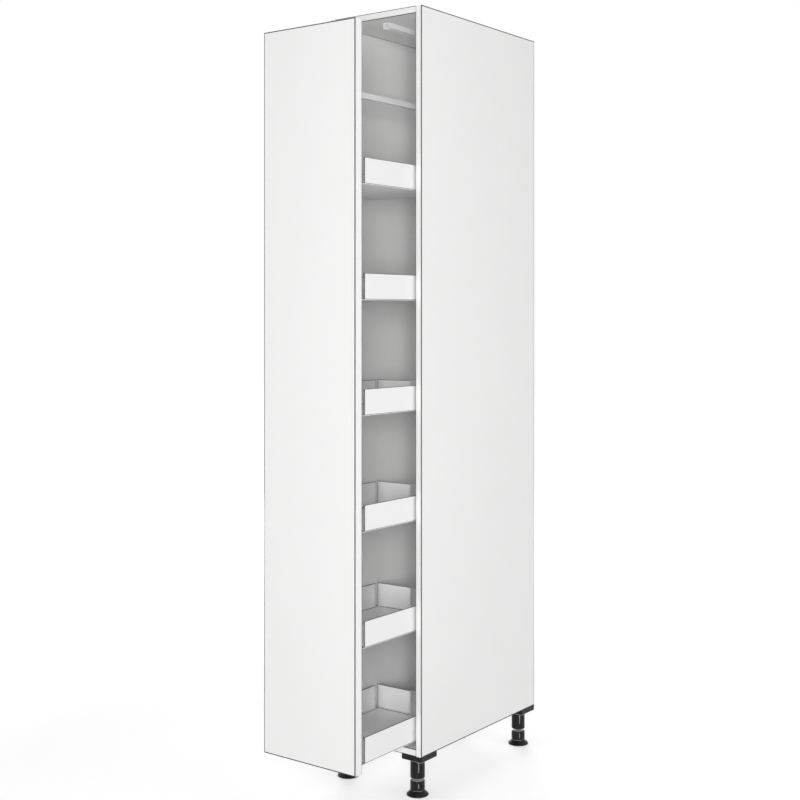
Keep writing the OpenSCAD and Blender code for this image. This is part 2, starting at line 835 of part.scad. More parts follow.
// Two thin strips, each with a row of holes that space the balls.
module ball_cages(row_x, y) {
    for (side = sides)
        difference() {
            translate([side * row_x - cage_t / 2, y, ball_z - cage_h / 2]) cube([cage_t, cage_len, cage_h]);
            for (i = [0:balls_per_cage - 1])
                translate([side * row_x, y + first_ball + i * ball_pitch, ball_z])
                    bar_x(ball_r + fit_play / 2, 2 * cage_t);
        }
}

module ball_rows(row_x, y) {
    for (side = sides, i = [0:balls_per_cage - 1])
        translate([side * row_x, y + first_ball + i * ball_pitch, ball_z]) sphere(r = ball_r, $fn = 24);
}

module lower_ball_cages() { color(grey_plastic) from_carcass() ball_cages(outer_row_x, lower_cage_y); }
module lower_balls() { color(bare_steel) from_carcass() ball_rows(outer_row_x, lower_cage_y); }
module upper_ball_cages() { color(grey_plastic) from_carcass() ball_cages(inner_row_x, upper_cage_y); }
module upper_balls() { color(bare_steel) from_carcass() ball_rows(inner_row_x, upper_cage_y); }

// ---- Frame ----

// Upright rectangular tube standing on the runner, with hook slots on one face.
module post(w, d, y, slot_face_y) {
    difference() {
        translate([0, y, frame_z]) linear_extrude(height = post_top - frame_z)
            tube_section(w, d, post_wall, post_r, post_inner_r);
        for (z = [tray_bottom + first_slot : slot_pitch : post_top - slot_end])
            translate([-slot_w / 2, slot_face_y - post_wall, z]) cube([slot_w, 2 * post_wall, slot_h]);
        translate([0, y + d / 2, spigot_bolt_z]) bar_x(bolt_hole_r, w + 2 * overrun);
    }
}

// Holes along Y for the bolts that hold an end plate of the beam.
module beam_bolt_holes(y, len) {
    for (z = beam_bolt_z)
        translate([0, y, z]) pointing_back() cylinder(r = bolt_hole_r, h = len);
}

module front_post() {
    color(white_metal)
    from_carcass()
    difference() {
        post(front_post_w, front_post_d, front_post_y, front_post_y + front_post_d);
        for (z = panel_bracket_z)
            translate([0, front_post_mid, z + bracket_h / 2]) bar_x(bolt_hole_r, front_post_w + 2 * overrun);
        beam_bolt_holes(front_post_y + front_post_d - 2 * post_wall, 4 * post_wall);
    }
}

module rear_post() {
    color(white_metal)
    from_carcass()
    difference() {
        post(rear_post_w, rear_post_d, rear_post_y, rear_post_y);
        for (z = mast_bolt_z)
            translate([0, rear_post_mid, z]) bar_x(bolt_hole_r, rear_post_w + 2 * overrun);
        beam_bolt_holes(rear_post_y - 2 * post_wall, 4 * post_wall);
    }
}

// Block that fits inside a post of outer size w by d.
module plug(w, d, h) {
    translate([0, spigot_play, 0]) linear_extrude(height = h)
        rounded_rect(w - 2 * spigot_play, d - 2 * spigot_play, tube_r);
}

// Solid blocks screwed to the runner, over which the posts slide.
module post_spigots() {
    color(bare_steel)
    from_carcass()
    difference() {
        union() {
            translate([0, front_post_y, frame_z]) plug(front_post_w, front_post_d, spigot_h);
            translate([0, rear_post_y, frame_z]) plug(rear_post_w, rear_post_d, spigot_h);
        }
        for (y = [front_post_mid, rear_post_mid])
            translate([0, y, spigot_bolt_z]) bar_x(bolt_hole_r, front_post_w);
        for (p = spigot_screw_places)
            translate([p[0], p[1], top_plate_z]) cylinder(r = bolt_d / 2, h = spigot_screw_len + blind_play);
    }
}

module spigot_screws() {
    color(bare_steel)
    from_carcass()
    for (p = spigot_screw_places)
        translate([p[0], p[1], top_plate_z]) {
            cylinder(r1 = spigot_head_r, r2 = bolt_d / 2, h = spigot_head_h);
            cylinder(r = bolt_d / 2, h = spigot_screw_len);
        }
}

module post_cap() {
    color(grey_plastic)
    from_carcass()
    translate([0, front_post_y, post_top]) {
        linear_extrude(height = cap_t) rounded_rect(front_post_w, front_post_d, post_r);
        translate([0, 0, -cap_plug]) plug(front_post_w, front_post_d, cap_plug + eps);
    }
}

// Square beam between the posts, with an end plate on each.
module top_beam() {
    y0 = front_post_y + front_post_d;
    y1 = rear_post_y;
    color(white_metal)
    from_carcass()
    difference() {
        union() {
            along_y(y0, y1 - y0)
                translate([0, beam_z]) tube_section(beam_s, beam_s, post_wall, tube_r, tube_inner_r);
            for (y = [y0, y1 - beam_plate_t])
                along_y(y, beam_plate_t)
                    translate([0, beam_z - beam_plate_reach])
                        rounded_rect(beam_plate_w, beam_s + 2 * beam_plate_reach, post_r);
        }
        for (y = [y0, y1 - beam_plate_t])
            beam_bolt_holes(y - overrun, beam_plate_t + 2 * overrun);
    }
}

// Square tube that slides in the rear post and sets the height of the guide arm.
module mast() {
    color(bare_steel)
    from_carcass()
    difference() {
        translate([0, mast_y, mast_foot]) linear_extrude(height = arm_top - arm_wall - mast_foot)
            tube_section(mast_w, mast_d, mast_wall, tube_r, tube_inner_r);
        for (z = concat(mast_bolt_z, [arm_bolt_z]))
            translate([0, rear_post_mid, z]) bar_x(bolt_hole_r, rear_post_w + 2 * overrun);
        beam_bolt_holes(mast_y - overrun, mast_wall + 2 * overrun);
    }
}

// Folded channel on the mast's head that reaches back to the two rollers.
module guide_arm() {
    color(bare_steel)
    from_carcass()
    difference() {
        along_y(mast_y, arm_end_y - mast_y)
            translate([0, arm_top - arm_drop]) channel_section(arm_w, arm_drop, arm_wall, tube_r);
        translate([0, rear_post_mid, arm_bolt_z]) bar_x(bolt_hole_r, arm_w + 2 * overrun);
        for (y = [roller_front_y, roller_rear_y])
            translate([0, y, arm_top - arm_drop]) cylinder(d = pin_d, h = arm_drop + overrun);
    }
}

// Roller pins: a head under the arm, a washer below the roller and a clip above it.
module guide_pins() {
    foot_z = arm_top - arm_wall - pin_head_h;
    clip_z = roller_z + roller_h + roller_air;
    color(bare_steel)
    from_carcass()
    for (y = [roller_front_y, roller_rear_y])
        translate([0, y, 0]) {
            translate([0, 0, foot_z]) cylinder(r = pin_head_r, h = pin_head_h);
            translate([0, 0, foot_z]) cylinder(d = pin_d, h = clip_z + clip_t - foot_z);
            translate([0, 0, arm_top]) cylinder(r = pin_head_r, h = roller_z - arm_top - roller_air);
            translate([0, 0, clip_z]) cylinder(r = pin_head_r, h = clip_t);
        }
}

// Bolt along X, centred on what it grips.
module cross_bolt(grip) {
    translate([-grip / 2, 0, 0]) rotate([0, 90, 0]) hex_bolt(grip);
}

module frame_bolts() {
    color(bare_steel)
    from_carcass() {
        translate([0, front_post_mid, spigot_bolt_z]) cross_bolt(front_post_w);
        translate([0, rear_post_mid, spigot_bolt_z]) cross_bolt(rear_post_w);
        for (z = panel_bracket_z)
            translate([0, front_post_mid, z + bracket_h / 2])
                cross_bolt(front_post_w + 2 * (bracket_t + fit_play));
        for (z = mast_bolt_z)
            translate([0, rear_post_mid, z]) cross_bolt(rear_post_w);
        translate([0, rear_post_mid, arm_bolt_z]) cross_bolt(arm_w);
        for (z = beam_bolt_z) {
            translate([0, rear_post_y - beam_plate_t, z])
                pointing_back() hex_bolt(beam_plate_t + spigot_play + mast_wall);
            translate([0, front_post_y + front_post_d + beam_plate_t, z])
                pointing_forward() hex_bolt(beam_plate_t + post_wall);
        }
    }
}

// ---- Top guide ----

module guide_rail() {
    color(white_metal)
    from_carcass()
    difference() {
        along_y(rail_y, rail_end_y - rail_y)
            translate([0, rail_z]) channel_section(rail_w, rail_h, rail_wall, rail_r);
        for (y = rail_screw_y)
            translate([0, y, ceiling_z - rail_wall]) screw_seat(rail_wall);
    }
}

module guide_roller(y) {
    bore = pin_d / 2 + pin_play;
    color(grey_plastic)
    from_carcass()
    translate([0, y, roller_z])
        rotate_extrude() polygon([
            [bore, 0], [roller_r - roller_edge, 0], [roller_r, roller_edge],
            [roller_r, roller_h - roller_edge], [roller_r - roller_edge, roller_h], [bore, roller_h]
        ]);
}

module guide_roller_front() { guide_roller(roller_front_y); }
module guide_roller_rear() { guide_roller(roller_rear_y); }

// ---- Front ----

// Sets its children at every screw of every panel bracket, pointing into the front.
module at_panel_screws() {
    for (z = panel_bracket_z, x = bracket_screw_x, dz = bracket_screw_z)
        translate([x, panel_back_y + bracket_t, z + dz]) pointing_forward() children();
}

module front_panel() {
    color(white_laminate)
    from_carcass()
    difference() {
        translate([0, panel_back_y - panel_t, panel_bottom])
            linear_extrude(height = panel_h) rounded_rect(carcass_w - 2 * panel_inset, panel_t, edge_r);
        at_panel_screws() cylinder(r = screw_r, h = screw_len);
    }
}

// Flat plate on the front's back with two ears that hold the post.
module panel_bracket() {
    ear_x = front_post_w / 2 + fit_play;
    difference() {
        union() {
            translate([-bracket_w / 2, 0, 0]) cube([bracket_w, bracket_t, bracket_h]);
            for (x = [-ear_x - bracket_t, ear_x])
                translate([x, 0, 0]) cube([bracket_t, bracket_t + front_post_d, bracket_h]);
        }
        translate([0, bracket_t + front_post_d / 2, bracket_h / 2]) bar_x(bolt_hole_r, bracket_w);
        for (x = bracket_screw_x, z = bracket_screw_z)
            translate([x, bracket_t, z]) pointing_forward() screw_seat(bracket_t);
    }
}

module panel_brackets() {
    color(bare_steel)
    from_carcass()
    for (z = panel_bracket_z)
        translate([0, panel_back_y, z]) panel_bracket();
}

module panel_screws() {
    color(bare_steel)
    from_carcass()
    at_panel_screws() screw_up();
}

// ---- Trays ----

// Section of a folded wall: inward foot, upright and rolled hem. Outer face at 0, inside is positive.
module wall_section() {
    h = tray_h - floor_t;
    square([flange_fold, wall_t]);
    square([wall_t, h - wall_t]);
    translate([0, h - hem_h]) square([2 * wall_t, hem_h - wall_t]);
    translate([wall_t, h - wall_t]) circle(wall_t);
}

module tray_floor(n) {
    color(white_metal)
    from_carcass()
    translate([0, tray_y, tray_z(n)])
        linear_extrude(height = floor_t) rounded_rect(tray_w, tray_len, tube_r);
}

module tray_side_walls(n) {
    color(white_metal)
    from_carcass()
    for (side = sides)
        translate([side * tray_w / 2, tray_y + corner_gap, tray_z(n) + floor_t])
            mirror([side > 0 ? 1 : 0, 0, 0])
                along_y(0, tray_len - 2 * corner_gap) wall_section();
}

module tray_end_walls(n) {
    color(white_metal)
    from_carcass() {
        translate([0, tray_y, tray_z(n) + floor_t]) along_x(tray_w) wall_section();
        translate([0, tray_end_y, tray_z(n) + floor_t]) mirror([0, 1, 0]) along_x(tray_w) wall_section();
    }
}

// Folded hook that straddles an end wall and hangs in the post's slots.
// The wall's outer face is at y = 0, the post's face at y = reach.
module tray_hook(reach) {
    t = wall_t;
    inner_y = -3 * t - hook_play;
    low_z = floor_t + t + hook_play;
    top_z = tray_h + hook_play;
    hook_top = top_z + t;
    body_w = min(hook_w, rear_post_w);
    tongue_w = slot_w - 2 * tongue_play;
    translate([-hook_w / 2, inner_y, low_z]) cube([hook_w, t, hook_top - low_z]);
    translate([-hook_w / 2, inner_y, top_z]) cube([hook_w, t + hook_play - inner_y, t]);
    translate([-body_w / 2, hook_play, top_z]) cube([body_w, reach - hook_play, t]);
    translate([-body_w / 2, reach - t, hook_low]) cube([body_w, t, hook_top - hook_low]);
    for (x = [-body_w / 2, body_w / 2 - t])
        translate([x, hook_play, hook_low]) cube([t, reach - hook_play, hook_top - hook_low]);
    for (z = [first_slot, first_slot + slot_pitch])
        translate([-tongue_w / 2, reach, z]) {
            translate([0, -t / 2, tongue_lift]) cube([tongue_w, t / 2 + tongue_reach, tongue_h]);
            translate([0, post_wall + hook_play, -tongue_drop])
                cube([tongue_w, tongue_reach - post_wall - hook_play, tongue_h]);
        }
}

module tray_hooks_front() {
    color(bare_steel)
    from_carcass()
    for (n = [1:tray_count])
        translate([0, tray_y, tray_z(n)]) mirror([0, 1, 0]) tray_hook(front_gap);
}

module tray_hooks_rear() {
    color(bare_steel)
    from_carcass()
    for (n = [1:tray_count])
        translate([0, tray_end_y, tray_z(n)]) tray_hook(rear_gap);
}

side_panel(-1);  // side_panel_left
side_panel(1);  // side_panel_right
top_board();
base_board();
back_panel();
dowels();
cam_bolts();
cam_housings();
leg_sockets();
wall_brackets();
wood_screws();
foot_front_left();
foot_front_right();
foot_rear_left();
foot_rear_right();
guide_rail();
runner_base_member();
runner_buffers();
runner_middle_member();
lower_ball_cages();
lower_balls();
upper_ball_cages();
upper_balls();
runner_top_member();
post_spigots();
spigot_screws();
front_post();
rear_post();
post_cap();
top_beam();
mast();
guide_arm();
guide_pins();
frame_bolts();
guide_roller_front();
guide_roller_rear();
front_panel();
panel_brackets();
panel_screws();
tray_hooks_front();
tray_hooks_rear();
tray_floor(1);  // tray_1_floor
tray_side_walls(1);  // tray_1_side_walls
tray_end_walls(1);  // tray_1_end_walls
tray_floor(2);  // tray_2_floor
tray_side_walls(2);  // tray_2_side_walls
tray_end_walls(2);  // tray_2_end_walls
tray_floor(3);  // tray_3_floor
tray_side_walls(3);  // tray_3_side_walls
tray_end_walls(3);  // tray_3_end_walls
tray_floor(4);  // tray_4_floor
tray_side_walls(4);  // tray_4_side_walls
tray_end_walls(4);  // tray_4_end_walls
tray_floor(5);  // tray_5_floor
tray_side_walls(5);  // tray_5_side_walls
tray_end_walls(5);  // tray_5_end_walls
tray_floor(6);  // tray_6_floor
tray_side_walls(6);  // tray_6_side_walls
tray_end_walls(6);  // tray_6_end_walls
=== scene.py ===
"""Looks of a tall pull-out larder unit: finishes, fasteners, feet, balls and studio.

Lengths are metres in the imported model's own frame: X across the unit, Y towards the wall, Z up.
"""

import logging
import math
from collections.abc import Callable, Sequence
from dataclasses import dataclass
from enum import Enum

import bpy
import numpy as np
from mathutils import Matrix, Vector


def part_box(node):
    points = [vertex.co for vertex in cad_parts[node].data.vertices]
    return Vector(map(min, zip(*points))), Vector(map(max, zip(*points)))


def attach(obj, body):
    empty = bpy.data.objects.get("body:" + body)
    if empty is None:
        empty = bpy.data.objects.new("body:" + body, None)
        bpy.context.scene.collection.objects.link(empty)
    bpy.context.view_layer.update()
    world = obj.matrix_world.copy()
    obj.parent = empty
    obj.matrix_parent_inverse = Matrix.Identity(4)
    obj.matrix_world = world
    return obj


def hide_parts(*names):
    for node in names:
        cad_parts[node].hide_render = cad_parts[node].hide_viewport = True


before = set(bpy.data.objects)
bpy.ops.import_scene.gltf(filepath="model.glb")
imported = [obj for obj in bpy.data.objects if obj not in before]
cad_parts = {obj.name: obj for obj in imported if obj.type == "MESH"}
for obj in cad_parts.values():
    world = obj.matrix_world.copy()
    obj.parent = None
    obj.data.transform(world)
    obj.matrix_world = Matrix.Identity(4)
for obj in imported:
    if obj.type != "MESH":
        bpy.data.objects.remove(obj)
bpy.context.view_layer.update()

MM = 0.001
SHARP_EDGE = math.radians(32)
SAME_LEVEL = 0.05 * MM
SAME_RADIUS = 0.01 * MM
SAME_POINT_DECIMALS = 6
ORDER_DECIMALS = 4
TRAYS = range(1, 7)
LOG = logging.getLogger("larder_unit")

Triple = tuple[float, float, float]
Colour = Triple
Socket = bpy.types.NodeSocket
Feed = Socket | float | tuple[float, ...]
Outline = Sequence[tuple[float, float]]
Shape = Callable[[float, float, float], float]


class Body(Enum):
    """The bodies that pieces ride on, besides the feet."""

    CABINET = "cabinet"
    PULL_OUT = "pull_out"
    LOWER_CAGES = "lower_cages"
    UPPER_CAGES = "upper_cages"


class Slot(Enum):
    """The record's material slots of the pieces that are made here."""

    ZINC = "zinc_plated_steel"
    BALLS = "ball_steel"
    BLACK = "black_plastic"
    COAT = "painted_steel"


class Axis(Enum):
    """The three axes, numbered as in a vector."""

    X = 0
    Y = 1
    Z = 2


# ---- Finishes ----


class ShaderSheet:
    """A new material's nodes, with short calls for what the finishes have in common."""

    # The Mix node's sockets when it mixes colours: the share, both colours and the result.
    MIX_INPUTS = (0, 6, 7)
    MIX_RESULT = 2

    def __init__(self, name: str) -> None:
        """Starts a material with its shader and the object's own coordinates.

        Args:
            name: the material's name.
        """
        self.material = bpy.data.materials.new(name)
        self.material.use_nodes = True
        self.tree = self.material.node_tree
        self.shader = self.tree.nodes["Principled BSDF"]
        self.place = self.node("TexCoord").outputs["Object"]

    def node(self, kind: str, **settings: object) -> bpy.types.Node:
        """Adds a node and sets its properties.

        Args:
            kind: the node's type without its ShaderNode prefix.
            settings: the properties to set on it.

        Returns:
            The new node.
        """
        made = self.tree.nodes.new("ShaderNode" + kind)
        for key, value in settings.items():
            setattr(made, key, value)
        return made

    def feed(self, socket: Socket, value: Feed) -> None:
        """Links an output to a socket, or sets the socket to a number or a colour.

        Args:
            socket: the input.
            value: the output, number or colour.
        """
        if isinstance(value, bpy.types.NodeSocket):
            self.tree.links.new(value, socket)
        else:
            socket.default_value = value

    def math(self, operation: str, *values: Feed) -> Socket:
        """Adds a Math node.

        Args:
            operation: what it does.
            values: its inputs.

        Returns:
            Its output.
        """
        made = self.node("Math", operation=operation)
        for socket, value in zip(made.inputs, values):
            self.feed(socket, value)
        return made.outputs[0]

    def axes(self) -> tuple[Socket, Socket, Socket]:
        """Splits the object's coordinates.

        Returns:
            X, Y and Z.
        """
        split = self.node("SeparateXYZ")
        self.feed(split.inputs[0], self.place)
        return tuple(split.outputs)

    def away(self, value: Feed, middle: float) -> Socket:
        """Returns how far a value lies from a middle, to either side."""
        return self.math("ABSOLUTE", self.math("SUBTRACT", value, middle))

    def within(self, value: Feed, low: float, high: float) -> Socket:
        """Returns 1 where a value lies between two limits."""
        return self.math("COMPARE", value, (low + high) / 2, (high - low) / 2)

    def noise(self, scale: float, stretch: Triple = (1, 1, 1), detail: float = 2.0) -> Socket:
        """Adds noise in the object's coordinates.

        Args:
            scale: grains to the metre.
            stretch: how much finer the grain is along X, Y and Z.
            detail: octaves of finer grain.

        Returns:
            The noise, from 0 to 1.
        """
        spread = self.node("Mapping")
        self.feed(spread.inputs["Vector"], self.place)
        self.feed(spread.inputs["Scale"], stretch)
        made = self.node("TexNoise")
        self.feed(made.inputs["Vector"], spread.outputs[0])
        self.feed(made.inputs["Scale"], scale)
        self.feed(made.inputs["Detail"], detail)
        return made.outputs[0]

    def cells(self, scale: float) -> Socket:
        """Adds flat random cells in the object's coordinates.

        Args:
            scale: cells to the metre.

        Returns:
            The grey of each cell, from 0 to 1.
        """
        made = self.node("TexVoronoi")
        self.feed(made.inputs["Vector"], self.place)
        self.feed(made.inputs["Scale"], scale)
        split = self.node("SeparateColor")
        self.feed(split.inputs[0], made.outputs["Color"])
        return split.outputs[0]

    def between(self, share: Feed, low: float, high: float) -> Socket:
        """Maps a share onto a range.

        Args:
            share: the share, from 0 to 1.
            low: what a share of 0 gives.
            high: what a share of 1 gives.

        Returns:
            The value in the range.
        """
        made = self.node("MapRange")
        self.feed(made.inputs["Value"], share)
        self.feed(made.inputs["To Min"], low)
        self.feed(made.inputs["To Max"], high)
        return made.outputs[0]

    def mix(self, share: Feed, first: Feed, second: Feed) -> Socket:
        """Mixes two colours.

        Args:
            share: how much of the second there is, from 0 to 1.
            first: the first colour.
            second: the second colour.

        Returns:
            The mixed colour.
        """
        made = self.node("Mix", data_type="RGBA")
        for index, value in zip(self.MIX_INPUTS, (share, first, second)):
            self.feed(made.inputs[index], opaque(value))
        return made.outputs[self.MIX_RESULT]

    def relief(self, height: Socket, depth: float, below: Socket | None = None) -> Socket:
        """Adds a bump of a real depth.

        Args:
            height: the bump's height, from 0 to 1.
            depth: the depth that a height of 1 stands for.
            below: the normal of the bump that this one lies on.

        Returns:
            The normal.
        """
        made = self.node("Bump")
        self.feed(made.inputs["Distance"], depth)
        self.feed(made.inputs["Height"], height)
        if below is not None:
            self.feed(made.inputs["Normal"], below)
        return made.outputs[0]

    def set(self, **values: Feed) -> None:
        """Feeds the shader's sockets by name, with _ for a space."""
        for name, value in values.items():
            self.feed(self.shader.inputs[name.replace("_", " ")], opaque(value))


def opaque(value: Feed) -> Feed:
    """Gives a plain colour its alpha and leaves anything else as it is."""
    return (*value, 1.0) if isinstance(value, tuple) and len(value) == 3 else value


def shade(colour: Colour, share: float) -> Colour:
    """Darkens or lightens a colour by a share of itself."""
    return tuple(min(channel * share, 1.0) for channel in colour)


@dataclass(frozen=True)
class Finish:
    """A finish with slow tone changes, smears and a fine grain; each kind adds its own."""

    name: str
    colour: Colour
    roughness: float
    tone_spread: float = 0.02
    tone_scale: float = 7.0
    smear: float = 22.0
    smear_spread: float = 0.2
    grain: float = 900.0
    grain_depth: float = 0.01 * MM

    def build(self) -> bpy.types.Material:
        """Makes the material.

        Returns:
            The material.
        """
        sheet = ShaderSheet(self.name)
        self.lay(sheet)
        return sheet.material

    def lay(self, sheet: ShaderSheet) -> None:
        """Lays colour, gloss and relief onto the sheet's shader."""
        sheet.set(Base_Color=self.tone(sheet), Roughness=self.gloss(sheet), Normal=self.surface(sheet))

    def tone(self, sheet: ShaderSheet) -> Socket:
        """Gives the colour its slow changes.

        Args:
            sheet: the material's nodes.

        Returns:
            The colour.
        """
        light = shade(self.colour, 1 + self.tone_spread)
        dark = shade(self.colour, 1 - self.tone_spread)
        return sheet.mix(sheet.noise(self.tone_scale, detail=4.0), dark, light)

    def gloss(self, sheet: ShaderSheet) -> Socket:
        """Returns the roughness with smears a few centimetres wide."""
        low, high = self.roughness * (1 - self.smear_spread), self.roughness * (1 + self.smear_spread)
        return sheet.between(sheet.noise(self.smear, detail=5.0), low, high)

    def surface(self, sheet: ShaderSheet) -> Socket:
        """Returns the normal with the fine grain."""
        return sheet.relief(sheet.noise(self.grain, detail=3.0), self.grain_depth)


@dataclass(frozen=True)
class PowderCoat(Finish):
    """White powder coat: orange peel over the sheet's own slight waves."""

    peel: float = 420.0
    peel_depth: float = 0.03 * MM
    wave: float = 24.0
    wave_depth: float = 0.12 * MM

    def surface(self, sheet: ShaderSheet) -> Socket:
        """Lays waves, then orange peel, then grain.

        Args:
            sheet: the material's nodes.

        Returns:
            The normal.
        """
        waves = sheet.relief(sheet.noise(self.wave, detail=1.0), self.wave_depth)
        peel = sheet.relief(sheet.noise(self.peel, detail=1.0), self.peel_depth, waves)
        return sheet.relief(sheet.noise(self.grain, detail=2.0), self.grain_depth, peel)


@dataclass(frozen=True)
class PlatedSteel(Finish):
    """Zinc-plated steel: spangle, rolling lines along Y and a bright sheen."""

    spangle: float = 260.0
    spangle_dark: float = 0.9
    spangle_light: float = 1.05
    spangle_rough: float = 0.08
    wear: float = 14.0
    roll_lines: float = 60.0
    roll_stretch: Triple = (40, 1, 40)
    line_depth: float = 0.012 * MM

    def lay(self, sheet: ShaderSheet) -> None:
        """Lays the metal with its crystals and lines.

        Args:
            sheet: the material's nodes.
        """
        crystals = sheet.cells(self.spangle)
        dark, light = shade(self.colour, self.spangle_dark), shade(self.colour, self.spangle_light)
        spangled = sheet.mix(crystals, dark, light)
        colour = sheet.mix(sheet.noise(self.wear, detail=5.0), spangled, self.colour)
        rough = sheet.math("ADD", sheet.between(crystals, 0, self.spangle_rough), self.gloss(sheet))
        lines = sheet.noise(self.roll_lines, stretch=self.roll_stretch, detail=3.0)
        sheet.set(Base_Color=colour, Roughness=rough, Metallic=1.0)
        sheet.set(Normal=sheet.relief(lines, self.line_depth))


@dataclass(frozen=True)
class Moulding(Finish):
    """Moulded plastic whose upright draw marks pull each highlight out along Z.

    The marks lean a little off Z, so that they have a direction on level faces too.
    """

    draw: float = 0.75
    draw_turn: float = 0.25
    specular: float = 0.5
    lean: Triple = (0.1, 0.07, 1.0)

    def lay(self, sheet: ShaderSheet) -> None:
        """Lays the plastic and turns its draw marks upright.

        Args:
            sheet: the material's nodes.
        """
        super().lay(sheet)
        across = sheet.node("VectorMath", operation="CROSS_PRODUCT")
        sheet.feed(across.inputs[0], sheet.node("NewGeometry").outputs["Normal"])
        sheet.feed(across.inputs[1], self.lean)
        sheet.set(Anisotropic=self.draw, Anisotropic_Rotation=self.draw_turn, Tangent=across.outputs[0])
        sheet.set(Specular_IOR_Level=self.specular)


@dataclass(frozen=True)
class LegMoulding(Moulding):
    """Black leg plastic with painted highlights: light rings at its rims and light lines down the diagonals
    that face the corners, broken up unevenly.
    """

    # The painted highlights' light grey, the noise that breaks them up, the heights of the rings and the
    # widths and stretches of the lines.
    highlight_colour: Colour = (0.6, 0.6, 0.6)
    highlight_breakup: float = 160.0
    least_highlight: float = 0.45
    highlight_levels: tuple[float, ...] = (13.7 * MM, 40 * MM, 45.5 * MM, 96 * MM)
    highlight_rim_half: float = 0.7 * MM
    highlight_line_half: float = 1.0 * MM
    sleeve_highlight: tuple[float, float] = (62 * MM, 94 * MM)
    collar_highlight: tuple[float, float] = (21 * MM, 33 * MM)

    def tone(self, sheet: ShaderSheet) -> Socket:
        """Paints highlights on the black: light rings at the rims and light lines down the diagonals, broken
        up unevenly.

        Args:
            sheet: the material's nodes.

        Returns:
            The colour.
        """
        x, y, z = sheet.axes()
        low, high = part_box("leg_sockets")
        low_foot, high_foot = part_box("foot_rear_right")
        leg, middle = (low_foot + high_foot) / 2, (low + high) / 2
        across = sheet.math("SUBTRACT", sheet.math("ABSOLUTE", x), leg.x)
        along = sheet.math("SUBTRACT", sheet.away(y, middle.y), leg.y - middle.y)
        apart = sheet.math("SUBTRACT", sheet.math("ABSOLUTE", across), sheet.math("ABSOLUTE", along))
        # Painted highlights down the sleeve and the collar, on the diagonal that faces the corner.
        diagonal = sheet.within(apart, -self.highlight_line_half, self.highlight_line_half)
        tall = sheet.math("ADD", sheet.within(z, *self.sleeve_highlight), sheet.within(z, *self.collar_highlight))
        marks = sheet.math("MULTIPLY", diagonal, tall)
        # Painted highlights as light rings round each rim.
        for level in self.highlight_levels:
            rim = sheet.within(z, level - self.highlight_rim_half, level + self.highlight_rim_half)
            marks = sheet.math("MAXIMUM", marks, rim)
        uneven = sheet.between(sheet.noise(self.highlight_breakup, detail=3.0), self.least_highlight, 1.0)
        # Lays the painted highlights over the black.
        return sheet.mix(sheet.math("MULTIPLY", marks, uneven), super().tone(sheet), self.highlight_colour)


@dataclass(frozen=True)
class EdgedCoat(PowderCoat):
    """Powder coat that lies thin on a sheet's arrises, so that the edges of its box show darker."""

    node: str = ""
    across: Axis = Axis.X
    thin_colour: Colour = (0.1, 0.1, 0.1)
    thin_w: float = 1.3 * MM

    def tone(self, sheet: ShaderSheet) -> Socket:
        """Darkens the coat on the arrises along the two axes that the sheet spans.

        Args:
            sheet: the material's nodes.

        Returns:
            The colour.
        """
        low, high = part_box(self.node)
        place = sheet.axes()
        edges = []
        for axis in Axis:
            if axis is not self.across:
                at = axis.value
                middle, half = (low[at] + high[at]) / 2, (high[at] - low[at]) / 2
                edges.append(sheet.math("GREATER_THAN", sheet.away(place[at], middle), half - self.thin_w))
        return sheet.mix(sheet.math("MAXIMUM", *edges), super().tone(sheet), self.thin_colour)


@dataclass(frozen=True)
class Beech(Finish):
    """Beech turned into dowels, with long dark flecks along X."""

    fleck: float = 240.0
    fleck_stretch: Triple = (0.08, 1, 1)
    fleck_dark: float = 0.75
    fleck_light: float = 1.1

    def tone(self, sheet: ShaderSheet) -> Socket:
        """Returns straight grain with flecks."""
        grain = sheet.noise(self.fleck, stretch=self.fleck_stretch, detail=5.0)
        return sheet.mix(grain, shade(self.colour, self.fleck_dark), shade(self.colour, self.fleck_light))


